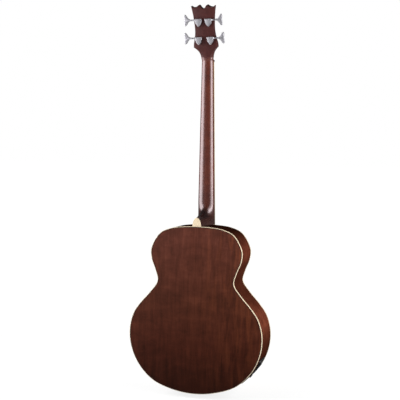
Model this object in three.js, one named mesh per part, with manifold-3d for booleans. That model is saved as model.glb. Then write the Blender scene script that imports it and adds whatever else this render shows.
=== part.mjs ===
// Acoustic bass guitar, 34 inch scale, in millimetres.
// +Z runs up the neck, the soundboard faces -Y, the bass side is at -X.
// The origin is the centre of the flat outer face of the end pin.
import * as THREE from "three";
import { mergeVertices } from "three/addons/utils/BufferGeometryUtils.js";
import Module from "manifold-3d";

const wasm = await Module();
wasm.setup();

// Clearances
const GAP = 0.3;
const RUNNING_GAP = 0.4;
const OVERRUN = 2;
const MERGE_DISTANCE = 0.0001;

// Body
const BODY_LENGTH = 529.5;
const LOWER_BOUT_WIDTH = 440;
const UPPER_BOUT_WIDTH = 302;
const WAIST_WIDTH = 252;
const SHOULDER_DEPTH = 100;
const TAIL_DEPTH = 116;
const TOP_THICKNESS = 3;
const BACK_THICKNESS = 3;
const BACK_CROWN = 6;
const SIDE_THICKNESS = 2.4;
const BINDING_HEIGHT = 6.5;
const SOUNDHOLE_DIAMETER = 100;
const SOUNDHOLE_TO_SHOULDER = 158;

// Linings, blocks and braces
const LINING_WIDTH = 6;
const LINING_HEIGHT = 15;
const LINING_TOE = 5;
const NECK_BLOCK_WIDTH = 92;
const NECK_BLOCK_LENGTH = 68;
const TAIL_BLOCK_WIDTH = 84;
const TAIL_BLOCK_LENGTH = 26;
const BRACE_WIDTH = 8;
const BRACE_HEIGHT = 15;
const BRACE_TIP_HEIGHT = 5;
const BRACE_TIP_LENGTH = 34;
const BACK_STRIP_WIDTH = 16;
const BACK_STRIP_THICKNESS = 2;
const BRACE_TO_LINING_GAP = 5;
const X_BRACE_TO_SADDLE_DISTANCE = 98;
const X_BRACE_SPREAD_SHARE = 0.95;
const UPPER_BRACE_TO_BLOCK_GAP = 12;
const BRIDGE_PLATE_LENGTH = 50;
const BRIDGE_PLATE_WIDTH = 170;
const BRIDGE_PLATE_THICKNESS = 3;

// Scale, neck and headstock
const SCALE_LENGTH = 864;
const FRETS = 22;
const BODY_FRET = 16;
const BODY_FRET_ABOVE_SHOULDER = 2;
const NUT_WIDTH = 39;
const JOINT_WIDTH = 56.4;
const NECK_DEPTH_AT_NUT = 15.5;
const NECK_DEPTH_AT_HEEL = 18.5;
const HEEL_CAP_WIDTH = 27.5;
const HEEL_CAP_LENGTH = 27.5;
const HEEL_CAP_THICKNESS = 2.5;
const HEEL_SWEEP = 56;
const TENON_WIDTH = 20;
const TENON_LENGTH = 17;
const TENON_DEPTH = 62;
const TENON_FLARE = 3;
const HEAD_TILT = THREE.MathUtils.degToRad(14.7);
const HEAD_THICKNESS = 15;
const HEAD_LENGTH = 181;
const HEAD_TOP_WIDTH = 78;
const HEAD_MIDDLE_WIDTH = 62;
const HEAD_EAR_WIDTH = 78.6;
const VENEER_THICKNESS = 1.2;

// Fingerboard, nut and truss rod
const BOARD_EDGE_THICKNESS = 5.5;
const BOARD_CROWN = 1;
const BOARD_PAST_LAST_FRET = 4;
const BOARD_BINDING_THICKNESS = 1.5;
const FRET_WIDTH = 2.4;
const FRET_HEIGHT = 1.1;
const NUT_THICKNESS = 5;
const NUT_NOTCH_DEPTH = 1.2;
const NUT_FLOOR_ABOVE_BOARD = 1.6;
const TRUSS_ROD_DIAMETER = 6;
const TRUSS_ROD_AXIS_DEPTH = 8;
const TRUSS_ROD_PAST_NUT = 16;
const TRUSS_NUT_DIAMETER = 8;
const TRUSS_NUT_LENGTH = 7;
const TRUSS_POCKET_WIDTH = 10;
const TRUSS_POCKET_DEPTH = 10;
const TRUSS_POCKET_LENGTH = 34;
const VENEER_START = 10;
const COVER_START = 11;
const COVER_LENGTH = 40;
const COVER_WIDTH = 24;
const COVER_THICKNESS = 2;

// Bridge and strings
const BRIDGE_WIDTH = 160;
const BRIDGE_LENGTH = 40;
const BRIDGE_THICKNESS = 9;
const BRIDGE_WING_THICKNESS = 4;
const BRIDGE_CORNER = 9;
const SADDLE_TO_BRIDGE_EDGE = 12;
const SADDLE_WIDTH = 78;
const SADDLE_THICKNESS = 3;
const SADDLE_ABOVE_BRIDGE = 3.6;
const SADDLE_SLOT_DEPTH = 6;
const PICKUP_HEIGHT = 1.5;
const PIN_TO_SADDLE = 14;
const PIN_HEAD_DIAMETER = 7.6;
const PIN_HEAD_HEIGHT = 4;
const PIN_SHANK_DIAMETER = 5.4;
const PIN_SHANK_LENGTH = 7.5;
const STRING_SPREAD_AT_SADDLE = 57;
const STRING_SPREAD_AT_NUT = 30;
const STRING_DIAMETERS = [2.54, 2.03, 1.65, 1.14];
const STRING_GAP = 0.55;
const WINDING_TURNS = 2.25;

// Tuning machines
const UPPER_POST_OFFSET = 16.3;
const UPPER_POST_HEIGHT = 125.8;
const LOWER_POST_OFFSET = 19.4;
const LOWER_POST_HEIGHT = 68.8;
const POST_HOLE_DIAMETER = 13;
const POST_SHAFT_DIAMETER = 9.6;
const POST_WAIST_DIAMETER = 9.2;
const POST_FLANGE_DIAMETER = 12.6;
const POST_FLANGE_THICKNESS = 1.2;
const POST_WAIST_LENGTH = 11;
const POST_HEAD_DIAMETER = 11.4;
const POST_HEAD_LENGTH = 4;
const POST_SLOT_WIDTH = 3;
const BUSHING_SLEEVE_DIAMETER = 12.4;
const BUSHING_FLANGE_DIAMETER = 18;
const BUSHING_FLANGE_THICKNESS = 2;
const BUSHING_BEVEL = 1;
const BUSHING_SLEEVE_LENGTH = 8;
const HOUSING_WIDTH = 20.6;
const HOUSING_HEIGHT = 10;
const HOUSING_WALL = 1.3;
const HOUSING_BEVEL = 0.8;
const HOUSING_TAB_DIAMETER = 4.8;
const HOUSING_TAB_REACH = 9.2;
const HOUSING_SHOULDER_DROP = 8;
const GEAR_DIAMETER = 13.6;
const GEAR_THICKNESS = 4;
const GEAR_LIFT = 6;
const WORM_DIAMETER = 4.6;
const WORM_LENGTH = 9;
const KEY_SHAFT_DIAMETER = 4;
const KEY_SLEEVE_DIAMETER = 5;
const KEY_COLLAR_DIAMETER = 7;
const KEY_COLLAR_LENGTH = 2.6;
const WORM_AXIS_TO_POST = 9.5;
const KEY_REACH = 46.5;
const BUTTON_WIDTH = 21.5;
const BUTTON_HEIGHT = 36;
const BUTTON_THICKNESS = 4.6;
const BUTTON_BEVEL = 1.1;

// End pin and jack plate
const END_PIN_LENGTH = 14;
const END_PIN_HEAD_DIAMETER = 14;
const END_PIN_HEAD_THICKNESS = 3.4;
const END_PIN_BEVEL = 1.1;
const END_PIN_NECK_DIAMETER = 9;
const END_PIN_BASE_DIAMETER = 13;
const END_PIN_BASE_THICKNESS = 3;
const END_PIN_SHANK_DIAMETER = 9.4;
const END_PIN_SHANK_LENGTH = 24;
const JACK_PLATE_LENGTH = 102;
const JACK_PLATE_DEPTH = 64;
const JACK_PLATE_THICKNESS = 2.2;
const JACK_PLATE_CORNER = 8;
const JACK_PLATE_MARGIN = 9;
const JACK_PLATE_TAIL_DISTANCE = 205;
const JACK_BARREL_DIAMETER = 11.4;
const JACK_NUT_DIAMETER = 15;
const JACK_NUT_THICKNESS = 2.5;
const JACK_BODY_DIAMETER = 18;
const JACK_BODY_LENGTH = 24;
const JACK_BORE_DIAMETER = 6.5;
const XLR_DIAMETER = 24;
const XLR_FLANGE_DIAMETER = 29;
const XLR_FLANGE_THICKNESS = 2;
const XLR_LENGTH = 26;
const XLR_WALL = 2;
const XLR_RECESS = 14;
const SOCKET_SPACING = 40;

// How finely round shapes are cut
const HALF_RIM_STEPS = 36;
const HOLE_STEPS = 28;
const ROUND_STEPS = 12;
const PIN_STEPS = 8;
const KEY_STEPS = 8;
const WINDING_STEPS = 24;
const STRING_SIDES = 6;
const NECK_QUARTER_STEPS = 6;
const CORNER_STEPS = 3;

// Places that follow from the sizes above
const FRONT_Y = -TAIL_DEPTH / 2;
const TAIL_Z = END_PIN_LENGTH;
const SHOULDER_Z = TAIL_Z + BODY_LENGTH;
const fretDistance = (fret) => SCALE_LENGTH * (1 - 2 ** (-fret / 12));
const NUT_Z = SHOULDER_Z + BODY_FRET_ABOVE_SHOULDER + fretDistance(BODY_FRET);
const SADDLE_Z = NUT_Z - SCALE_LENGTH;
const HEEL_DEPTH = SHOULDER_DEPTH - HEEL_CAP_THICKNESS - GAP;
const BOARD_END_Z = NUT_Z - fretDistance(FRETS) - BOARD_PAST_LAST_FRET;
const BOARD_BACK_Y = FRONT_Y - GAP;
const INNER_RIM = SIDE_THICKNESS + GAP;

// Materials
function material(color, roughness, metalness = 0) {
  return new THREE.MeshStandardMaterial({ color, roughness, metalness });
}
const mahogany = () => material(0x5a2f22, 0.42);
const darkWood = () => material(0x2b1a16, 0.5);
const spruce = () => material(0xc79a63, 0.45);
const braceWood = () => material(0xd2b48a, 0.7);
const cream = () => material(0xebdcb4, 0.35);
const bone = () => material(0xe8e0c8, 0.4);
const rosewood = () => material(0x2d1b14, 0.55);
const chrome = () => material(0xc4c4ca, 0.28, 0.9);
const blackPlastic = () => material(0x1c1719, 0.4);
const steel = () => material(0x9c9a96, 0.35, 0.85);
const bronze = () => material(0xa9814f, 0.35, 0.85);

const guitar = new THREE.Group();

function addPiece(name, geometry, pieceMaterial, parent = guitar) {
  const mesh = new THREE.Mesh(geometry, pieceMaterial);
  mesh.name = name;
  parent.add(mesh);
  return mesh;
}

// Booleans on closed geometries
function solidOf(geometry) {
  const bare = geometry.clone();
  bare.deleteAttribute("normal");
  bare.deleteAttribute("uv");
  const merged = mergeVertices(bare, MERGE_DISTANCE);
  return new wasm.Manifold(
    new wasm.Mesh({
      numProp: 3,
      vertProperties: merged.attributes.position.array,
      triVerts: new Uint32Array(merged.index.array),
    }),
  );
}

function geometryOf(solid) {
  const mesh = solid.getMesh();
  const geometry = new THREE.BufferGeometry();
  geometry.setAttribute("position", new THREE.BufferAttribute(mesh.vertProperties, 3));
  geometry.setIndex(new THREE.BufferAttribute(mesh.triVerts, 1));
  geometry.computeVertexNormals();
  return geometry;
}

function combine(operation, first, others) {
  const result = others.reduce(
    (made, other) => made[operation](solidOf(other)),
    solidOf(first),
  );
  return geometryOf(result);
}
const cut = (first, ...others) => combine("subtract", first, others);
const join = (first, ...others) => combine("add", first, others);
const common = (first, ...others) => combine("intersect", first, others);

// Closed geometry from points and triangles, with its faces turned outwards
function closedGeometry(points, triangles) {
  const volume = triangles.reduce((sum, [a, b, c]) => {
    const cross = new THREE.Vector3().crossVectors(points[b], points[c]);
    return sum + points[a].dot(cross);
  }, 0);
  const outward = volume > 0 ? triangles : triangles.map(([a, b, c]) => [a, c, b]);
  const geometry = new THREE.BufferGeometry();
  const flat = points.flatMap((p) => [p.x, p.y, p.z]);
  geometry.setAttribute("position", new THREE.Float32BufferAttribute(flat, 3));
  geometry.setIndex(outward.flat());
  geometry.computeVertexNormals();
  return geometry;
}

// Skin over rings of points; a closed loft joins its last ring to its first
function loft(rings, closed = false) {
  const size = rings[0].length;
  const points = rings.flat();
  const triangles = [];
  const spans = closed ? rings.length : rings.length - 1;
  for (let r = 0; r < spans; r++) {
    const here = r * size;
    const next = ((r + 1) % rings.length) * size;
    for (let k = 0; k < size; k++) {
      const l = (k + 1) % size;
      triangles.push([here + k, here + l, next + l], [here + k, next + l, next + k]);
    }
  }
  if (!closed) {
    [0, rings.length - 1].forEach((r) => {
      const centre = rings[r].reduce((sum, p) => sum.add(p), new THREE.Vector3());
      points.push(centre.divideScalar(size));
      for (let k = 0; k < size; k++) {
        const edge = [r * size + k, r * size + ((k + 1) % size)];
        triangles.push(r === 0 ? [edge[1], edge[0], points.length - 1] : [...edge, points.length - 1]);
      }
    });
  }
  return closedGeometry(points, triangles);
}

// Flat shapes drawn across (x) and up (z), then given a thickness along y
function plate(outline, frontY, thickness, holes = []) {
  const shape = new THREE.Shape(outline);
  holes.forEach((hole) => shape.holes.push(new THREE.Path(hole)));
  const geometry = new THREE.ExtrudeGeometry(shape, { depth: thickness, bevelEnabled: false });
  return geometry.rotateX(Math.PI / 2).translate(0, frontY + thickness, 0);
}

function box(lowX, highX, lowY, highY, lowZ, highZ) {
  const geometry = new THREE.BoxGeometry(highX - lowX, highY - lowY, highZ - lowZ);
  return geometry.translate((lowX + highX) / 2, (lowY + highY) / 2, (lowZ + highZ) / 2);
}

function circle(x, z, diameter, steps) {
  const points = [];
  const radius = diameter / 2;
  for (let i = 0; i < steps; i++) {
    const angle = (i / steps) * 2 * Math.PI;
    points.push(new THREE.Vector2(x + radius * Math.cos(angle), z + radius * Math.sin(angle)));
  }
  return points;
}

// Turned piece: profile of [radius, height] along the axis
function turned(profile, steps = ROUND_STEPS) {
  return new THREE.LatheGeometry(
    profile.map(([radius, height]) => new THREE.Vector2(radius, height)),
    steps,
  );
}

// Turned piece whose axis is the +Z line through the origin
function alongZ(profile, steps = ROUND_STEPS) {
  return turned(profile, steps).rotateX(Math.PI / 2);
}

// The same piece for the bass side, with its faces turned round again
function mirrored(geometry) {
  const turnedOver = geometry.clone().scale(-1, 1, 1);
  const index = turnedOver.index;
  for (let i = 0; i < index.count; i += 3) {
    const second = index.getX(i + 1);
    index.setX(i + 1, index.getX(i + 2));
    index.setX(i + 2, second);
  }
  return turnedOver;
}

// Outline of the body from the shoulder to the tail: the width a point follows, its share, share of length
const OUTLINE_SHARES = [
  [UPPER_BOUT_WIDTH, 0, 0],
  [UPPER_BOUT_WIDTH, 0.309, 0.0034],
  [UPPER_BOUT_WIDTH, 0.574, 0.0147],
  [UPPER_BOUT_WIDTH, 0.808, 0.0461],
  [UPPER_BOUT_WIDTH, 0.994, 0.1379],
  [UPPER_BOUT_WIDTH, 0.98, 0.2021],
  [WAIST_WIDTH, 1.063, 0.2697],
  [WAIST_WIDTH, 1.002, 0.3326],
  [WAIST_WIDTH, 1.203, 0.4037],
  [LOWER_BOUT_WIDTH, 0.825, 0.4667],
  [LOWER_BOUT_WIDTH, 0.935, 0.5315],
  [LOWER_BOUT_WIDTH, 0.997, 0.6256],
  [LOWER_BOUT_WIDTH, 0.978, 0.7312],
  [LOWER_BOUT_WIDTH, 0.862, 0.8406],
  [LOWER_BOUT_WIDTH, 0.635, 0.9348],
  [LOWER_BOUT_WIDTH, 0.323, 0.9839],
  [LOWER_BOUT_WIDTH, 0, 1],
];

function rimSamples() {
  const treble = OUTLINE_SHARES.map(
    ([width, across, down]) =>
      new THREE.Vector3((width / 2) * across, 0, SHOULDER_Z - BODY_LENGTH * down),
  );
  const bass = treble.slice(1, -1).reverse();
  const points = [...treble, ...bass.map((p) => new THREE.Vector3(-p.x, 0, p.z))];
  const curve = new THREE.CatmullRomCurve3(points, true, "centripetal");
  const samples = [];
  for (let i = 0; i < 2 * HALF_RIM_STEPS; i++) {
    const share = i / (2 * HALF_RIM_STEPS);
    const p = curve.getPoint(share);
    const tangent = curve.getTangent(share);
    samples.push({ x: p.x, z: p.z, nx: -tangent.z, nz: tangent.x });
  }
  return samples;
}
const RIM = rimSamples();

const rimPoint = (sample, inward) =>
  new THREE.Vector2(sample.x - sample.nx * inward, sample.z - sample.nz * inward);
const rimOutline = (inward) => RIM.map((sample) => rimPoint(sample, inward));

// Treble half of the rim, from one distance off the centreline at the top to another at the tail
function halfRim(topX, tailX) {
  const half = RIM.slice(0, HALF_RIM_STEPS + 1);
  const blend = (a, b, x) => {
    const share = (x - a.x) / (b.x - a.x);
    const mix = (key) => a[key] + (b[key] - a[key]) * share;
    return { x, z: mix("z"), nx: mix("nx"), nz: mix("nz") };
  };
  const first = half.findIndex((s) => s.x > topX);
  const last = half.length - 1 - [...half].reverse().findIndex((s) => s.x > tailX);
  return [
    blend(half[first - 1], half[first], topX),
    ...half.slice(first, last + 1),
    blend(half[last], half[last + 1], tailX),
  ];
}

// Outer face of the back: the body grows deeper towards the tail, and the back is a shallow round dish
function backY(x, z) {
  const down = (SHOULDER_Z - z) / BODY_LENGTH;
  const depth = SHOULDER_DEPTH + (TAIL_DEPTH - SHOULDER_DEPTH) * down;
  const reach = Math.hypot(x, z - (SHOULDER_Z - BODY_LENGTH / 2)) / (BODY_LENGTH / 2);
  return FRONT_Y + depth + BACK_CROWN * (1 - reach * reach);
}
const backInnerY = (x, z) => backY(x, z) - BACK_THICKNESS;

// Distance from a place inside the body to an inset of the rim, in a direction
function distanceToRim(place, direction, inward) {
  const outline = rimOutline(inward);
  const distances = outline.map((a, i) => {
    const edge = outline[(i + 1) % outline.length].clone().sub(a);
    const offset = a.clone().sub(place);
    const turn = direction.cross(edge);
    const across = offset.cross(direction) / turn;
    const along = offset.cross(edge) / turn;
    return across >= 0 && across <= 1 && along > 0 ? along : Infinity;
  });
  return Math.min(...distances) * direction.length();
}
const halfWidthAt = (z, inward) =>
  distanceToRim(new THREE.Vector2(0, z), new THREE.Vector2(1, 0), inward);

// A strip that follows samples of the rim, given its section as [inward, y] corners
function rimStrip(samples, section, closed) {
  const rings = samples.map((sample) =>
    section.map(([inward, y]) => {
      const p = rimPoint(sample, inward);
      return new THREE.Vector3(p.x, typeof y === "function" ? y(p.x, p.y) : y, p.y);
    }),
  );
  return loft(rings, closed);
}

function frontSection(inward, width, frontY, height, toe = height) {
  return [
    [inward, frontY],
    [inward + width, frontY],
    [inward + width, frontY + toe],
    [inward, frontY + height],
  ];
}

function backSection(inward, width, lift, height, toe = height) {
  return [
    [inward, (x, z) => backY(x, z) - lift],
    [inward + width, (x, z) => backY(x, z) - lift],
    [inward + width, (x, z) => backY(x, z) - lift - toe],
    [inward, (x, z) => backY(x, z) - lift - height],
  ];
}

// Dished back: rings that shrink towards the middle of the body
const DISH_RING_SHARES = [1, 0.75, 0.5, 0.25];

function backPlate() {
  const outline = rimOutline(INNER_RIM);
  const middle = new THREE.Vector2(0, SHOULDER_Z - BODY_LENGTH / 2);
  const rings = DISH_RING_SHARES.map((share) =>
    outline.map((p) => p.clone().sub(middle).multiplyScalar(share).add(middle)),
  );
  const places = [...rings.flat(), middle];
  const count = outline.length;
  const layer = places.length;
  const points = [backY, backInnerY].flatMap((height) =>
    places.map((p) => new THREE.Vector3(p.x, height(p.x, p.y), p.y)),
  );
  const triangles = [];
  for (let k = 0; k < count; k++) {
    const l = (k + 1) % count;
    const faces = rings.slice(1).flatMap((_, r) => {
      const [outer, inner] = [r * count, (r + 1) * count];
      return [
        [outer + k, outer + l, inner + l],
        [outer + k, inner + l, inner + k],
      ];
    });
    const last = (rings.length - 1) * count;
    faces.push([last + k, last + l, layer - 1]);
    triangles.push(...faces, ...faces.map((face) => face.map((i) => i + layer).reverse()));
    triangles.push([l, k, layer + k], [l, layer + k, layer + l]);
  }
  return closedGeometry(points, triangles);
}

function soundboard() {
  const hole = circle(0, SHOULDER_Z - SOUNDHOLE_TO_SHOULDER, SOUNDHOLE_DIAMETER, HOLE_STEPS);
  return plate(rimOutline(INNER_RIM), FRONT_Y, TOP_THICKNESS, [hole]);
}

function addBody() {
  addPiece("soundboard", soundboard(), spruce());
  addPiece("back_plate", backPlate(), mahogany());
  const topBinding = frontSection(0, SIDE_THICKNESS, FRONT_Y, BINDING_HEIGHT);
  addPiece("top_binding", rimStrip(RIM, topBinding, true), cream());
  const backBinding = backSection(0, SIDE_THICKNESS, 0, BINDING_HEIGHT);
  addPiece("back_binding", rimStrip(RIM, backBinding, true), cream());
  addSides();
  addLinings();
  addBlocks();
  addTopBraces();
  addBackBraces();
}

function addSides() {
  const section = [
    [0, FRONT_Y + BINDING_HEIGHT + GAP],
    [SIDE_THICKNESS, FRONT_Y + BINDING_HEIGHT + GAP],
    [SIDE_THICKNESS, (x, z) => backY(x, z) - BINDING_HEIGHT - GAP],
    [0, (x, z) => backY(x, z) - BINDING_HEIGHT - GAP],
  ];
  const samples = halfRim(TENON_WIDTH / 2 + GAP, GAP / 2);
  const pinHole = endPinHole(TAIL_Z - OVERRUN, TAIL_Z + SIDE_THICKNESS + OVERRUN);
  const treble = cut(rimStrip(samples, section, false), pinHole);
  addPiece("side_treble", treble, mahogany());
  addPiece("side_bass", cut(mirrored(treble), jackWindow()), mahogany());
}

function addLinings() {
  const samples = halfRim((NECK_BLOCK_WIDTH + LINING_WIDTH) / 2, (TAIL_BLOCK_WIDTH + LINING_WIDTH) / 2);
  const front = frontSection(
    INNER_RIM,
    LINING_WIDTH,
    FRONT_Y + TOP_THICKNESS + GAP,
    LINING_HEIGHT,
    LINING_TOE,
  );
  const back = backSection(INNER_RIM, LINING_WIDTH, BACK_THICKNESS + GAP, LINING_HEIGHT, LINING_TOE);
  [
    ["top_lining", front],
    ["back_lining", back],
  ].forEach(([name, section]) => {
    const treble = rimStrip(samples, section, false);
    addPiece(name + "_treble", treble, braceWood());
    addPiece(name + "_bass", mirrored(treble), braceWood());
  });
}

// A block that fills the body from soundboard to back between two heights
const BLOCK_STATION_SHARES = [-1, -0.5, 0, 0.5, 1];

function fillBlock(width, lowZ, highZ) {
  const front = FRONT_Y + TOP_THICKNESS + GAP;
  const half = width / 2;
  const rings = [lowZ, highZ].map((z) => {
    const backs = BLOCK_STATION_SHARES.map((share) => {
      const x = share * half;
      return new THREE.Vector3(x, backInnerY(x, z) - 2 * GAP, z);
    });
    return [new THREE.Vector3(half, front, z), new THREE.Vector3(-half, front, z), ...backs];
  });
  const inside = plate(rimOutline(INNER_RIM), FRONT_Y, 2 * TAIL_DEPTH);
  return common(loft(rings), inside);
}

function endPinHole(lowZ, highZ) {
  const radius = END_PIN_SHANK_DIAMETER / 2 + GAP;
  return alongZ([
    [0, lowZ],
    [radius, lowZ],
    [radius, highZ],
    [0, highZ],
  ]);
}

function addBlocks() {
  const mortise = box(
    -TENON_WIDTH / 2 - GAP,
    TENON_WIDTH / 2 + GAP,
    FRONT_Y,
    FRONT_Y + BINDING_HEIGHT + TENON_DEPTH + 2 * GAP,
    SHOULDER_Z - TENON_LENGTH - GAP,
    SHOULDER_Z + OVERRUN,
  );
  const neckBlock = fillBlock(NECK_BLOCK_WIDTH, SHOULDER_Z - NECK_BLOCK_LENGTH, SHOULDER_Z);
  addPiece("neck_block", cut(neckBlock, mortise), braceWood());
  const tailBlock = fillBlock(TAIL_BLOCK_WIDTH, TAIL_Z, TAIL_Z + TAIL_BLOCK_LENGTH);
  const pinHole = endPinHole(TAIL_Z - OVERRUN, TAIL_Z + TAIL_BLOCK_LENGTH + OVERRUN);
  addPiece("tail_block", cut(tailBlock, pinHole), braceWood());
}

// A straight brace on the soundboard between two places, lower at its tips
function topBrace(from, to) {
  const along = to.clone().sub(from);
  const length = along.length();
  along.normalize();
  const across = new THREE.Vector2(-along.y, along.x).multiplyScalar(BRACE_WIDTH / 2);
  const front = FRONT_Y + TOP_THICKNESS + GAP;
  const stations = [
    [0, BRACE_TIP_HEIGHT],
    [BRACE_TIP_LENGTH, BRACE_HEIGHT],
    [length - BRACE_TIP_LENGTH, BRACE_HEIGHT],
    [length, BRACE_TIP_HEIGHT],
  ];
  const rings = stations.map(([distance, height]) => {
    const p = from.clone().addScaledVector(along, distance);
    const low = p.clone().sub(across);
    const high = p.clone().add(across);
    return [
      new THREE.Vector3(low.x, front, low.y),
      new THREE.Vector3(high.x, front, high.y),
      new THREE.Vector3(high.x, front + height, high.y),
      new THREE.Vector3(low.x, front + height, low.y),
    ];
  });
  return loft(rings);
}

// Ends of the tone bar: share of the way from tail block to bridge plate, and of the half width there
const TONE_BAR_END_SHARES = [
  [0.86, -0.42],
  [0.38, 0.42],
];

function addTopBraces() {
  const inward = INNER_RIM + LINING_WIDTH + BRACE_TO_LINING_GAP;
  const crossing = new THREE.Vector2(0, SADDLE_Z + X_BRACE_TO_SADDLE_DISTANCE);
  const tip = (across, up) => {
    const direction = new THREE.Vector2(across * X_BRACE_SPREAD_SHARE, up);
    const reach = distanceToRim(crossing, direction, inward);
    return crossing.clone().add(direction.setLength(reach));
  };
  const arm = (side) => topBrace(tip(-side, 1), tip(side, -1));
  addPiece("x_brace", join(arm(1), arm(-1)), braceWood());

  const blockLow = SHOULDER_Z - NECK_BLOCK_LENGTH;
  const upperZ = blockLow - UPPER_BRACE_TO_BLOCK_GAP - BRACE_WIDTH / 2;
  const upperHalf = halfWidthAt(upperZ, INNER_RIM + LINING_WIDTH) - BRACE_WIDTH / 2;
  const upper = topBrace(new THREE.Vector2(-upperHalf, upperZ), new THREE.Vector2(upperHalf, upperZ));
  addPiece("upper_brace", upper, braceWood());

  const blockHigh = TAIL_Z + TAIL_BLOCK_LENGTH;
  const plateLow = SADDLE_Z - BRIDGE_PLATE_LENGTH / 2;
  const [from, to] = TONE_BAR_END_SHARES.map(([up, across]) => {
    const z = blockHigh + (plateLow - blockHigh) * up;
    return new THREE.Vector2(halfWidthAt(z, inward) * across, z);
  });
  addPiece("tone_bar", topBrace(from, to), braceWood());
  addPiece("bridge_plate", bridgePlate(crossing.y), braceWood());
}

// The plate under the bridge fits between the arms of the X brace
function bridgePlate(crossingZ) {
  const topZ = SADDLE_Z + BRIDGE_PLATE_LENGTH / 2;
  const bottomZ = topZ - BRIDGE_PLATE_LENGTH;
  const armClearance = BRACE_WIDTH + GAP;
  const half = BRIDGE_PLATE_WIDTH / 2;
  const topHalf = (crossingZ - topZ) * X_BRACE_SPREAD_SHARE - armClearance;
  const kneeZ = crossingZ - (half + armClearance) / X_BRACE_SPREAD_SHARE;
  const corners = [
    [topHalf, topZ],
    [half, kneeZ],
    [half, bottomZ],
  ];
  const outline = [
    ...corners.map(([x, z]) => new THREE.Vector2(x, z)),
    ...corners.reverse().map(([x, z]) => new THREE.Vector2(-x, z)),
  ];
  return plate(outline, FRONT_Y + TOP_THICKNESS + GAP, BRIDGE_PLATE_THICKNESS);
}

// Braces and strip of the back follow the inside of its dome
function domeStrip(stations, width, height, acrossX) {
  const rings = stations.map(([distance, fixed, share]) => {
    const sides = [-width / 2, width / 2].map((s) =>
      acrossX ? new THREE.Vector2(distance, fixed + s) : new THREE.Vector2(fixed + s, distance),
    );
    const tops = sides.map((p) => new THREE.Vector3(p.x, backInnerY(p.x, p.y) - 2 * GAP, p.y));
    const bottoms = tops.map((p) => new THREE.Vector3(p.x, p.y - height * share, p.z));
    return [tops[0], tops[1], bottoms[1], bottoms[0]];
  });
  return loft(rings);
}

const BACK_BRACE_SHARES = [0.25, 0.5, 0.75];
const DOME_STATION_SHARES = [-1, -0.8, -0.55, -0.3, -0.1, 0.1, 0.3, 0.55, 0.8, 1];

function addBackBraces() {
  const tipShare = BRACE_TIP_HEIGHT / BRACE_HEIGHT;
  const lowZ = TAIL_Z + TAIL_BLOCK_LENGTH + GAP;
  const highZ = SHOULDER_Z - NECK_BLOCK_LENGTH - GAP;
  const stripStations = DOME_STATION_SHARES.map((share) => [
    (lowZ + highZ) / 2 + ((highZ - lowZ) / 2) * share,
    0,
    1,
  ]);
  const strip = domeStrip(stripStations, BACK_STRIP_WIDTH, BACK_STRIP_THICKNESS, false);
  const grooveWidth = BACK_STRIP_WIDTH + 2 * GAP;
  const grooveLow = domeStrip(stripStations, grooveWidth, BACK_STRIP_THICKNESS + GAP, false);
  const grooveHigh = grooveLow.clone().translate(0, GAP, 0);
  addPiece("back_strip", strip, braceWood());
  BACK_BRACE_SHARES.forEach((share, i) => {
    const z = lowZ + (highZ - lowZ) * share;
    const edges = [z - BRACE_WIDTH / 2, z + BRACE_WIDTH / 2];
    const half = Math.min(...edges.map((edge) => halfWidthAt(edge, INNER_RIM + LINING_WIDTH))) - 2 * GAP;
    const stations = DOME_STATION_SHARES.map((s) => [s * half, z, Math.abs(s) === 1 ? tipShare : 1]);
    const brace = domeStrip(stations, BRACE_WIDTH, BRACE_HEIGHT, true);
    addPiece("back_brace_" + (i + 1), cut(brace, grooveHigh, grooveLow), braceWood());
  });
}

// Neck: half width of the fingerboard side at a height
function neckHalfWidth(z) {
  const share = (NUT_Z - z) / (NUT_Z - SHOULDER_Z);
  return (NUT_WIDTH + (JOINT_WIDTH - NUT_WIDTH) * share) / 2;
}

// Section of the neck between a front and a back point, round or square shouldered
function neckRing({ front, back, half, flat, roundShare }) {
  const quarter = [];
  for (let k = 0; k <= NECK_QUARTER_STEPS; k++) {
    const angle = (k / NECK_QUARTER_STEPS) * (Math.PI / 2);
    const across = k === NECK_QUARTER_STEPS ? 0 : Math.cos(angle) ** roundShare;
    quarter.push([flat + (half - flat) * across, Math.sin(angle) ** roundShare]);
  }
  const at = (x, deep) => {
    const y = front[0] + (back[0] - front[0]) * deep;
    const z = front[1] + (back[1] - front[1]) * deep;
    return new THREE.Vector3(x, y, z);
  };
  const treble = quarter.map(([x, deep]) => at(x, deep));
  const bass = [...quarter].reverse().map(([x, deep]) => at(-x, deep));
  return flat > 0 ? [...treble, at(0, 1), ...bass] : [...treble, ...bass.slice(1)];
}

const HEEL_RING_SHARES = [0, 0.35, 0.6, 0.8, 0.93];
const HEEL_SWEEP_SHARES = [0, 0.12, 0.25, 0.4, 0.55, 0.7, 0.85, 1];
const HEEL_TIP_FLAT_SHARE = 0.12;
const HEEL_ROUND_SHARE = 2.1;
const SHAFT_ROUND_SHARE = 0.9;

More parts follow.
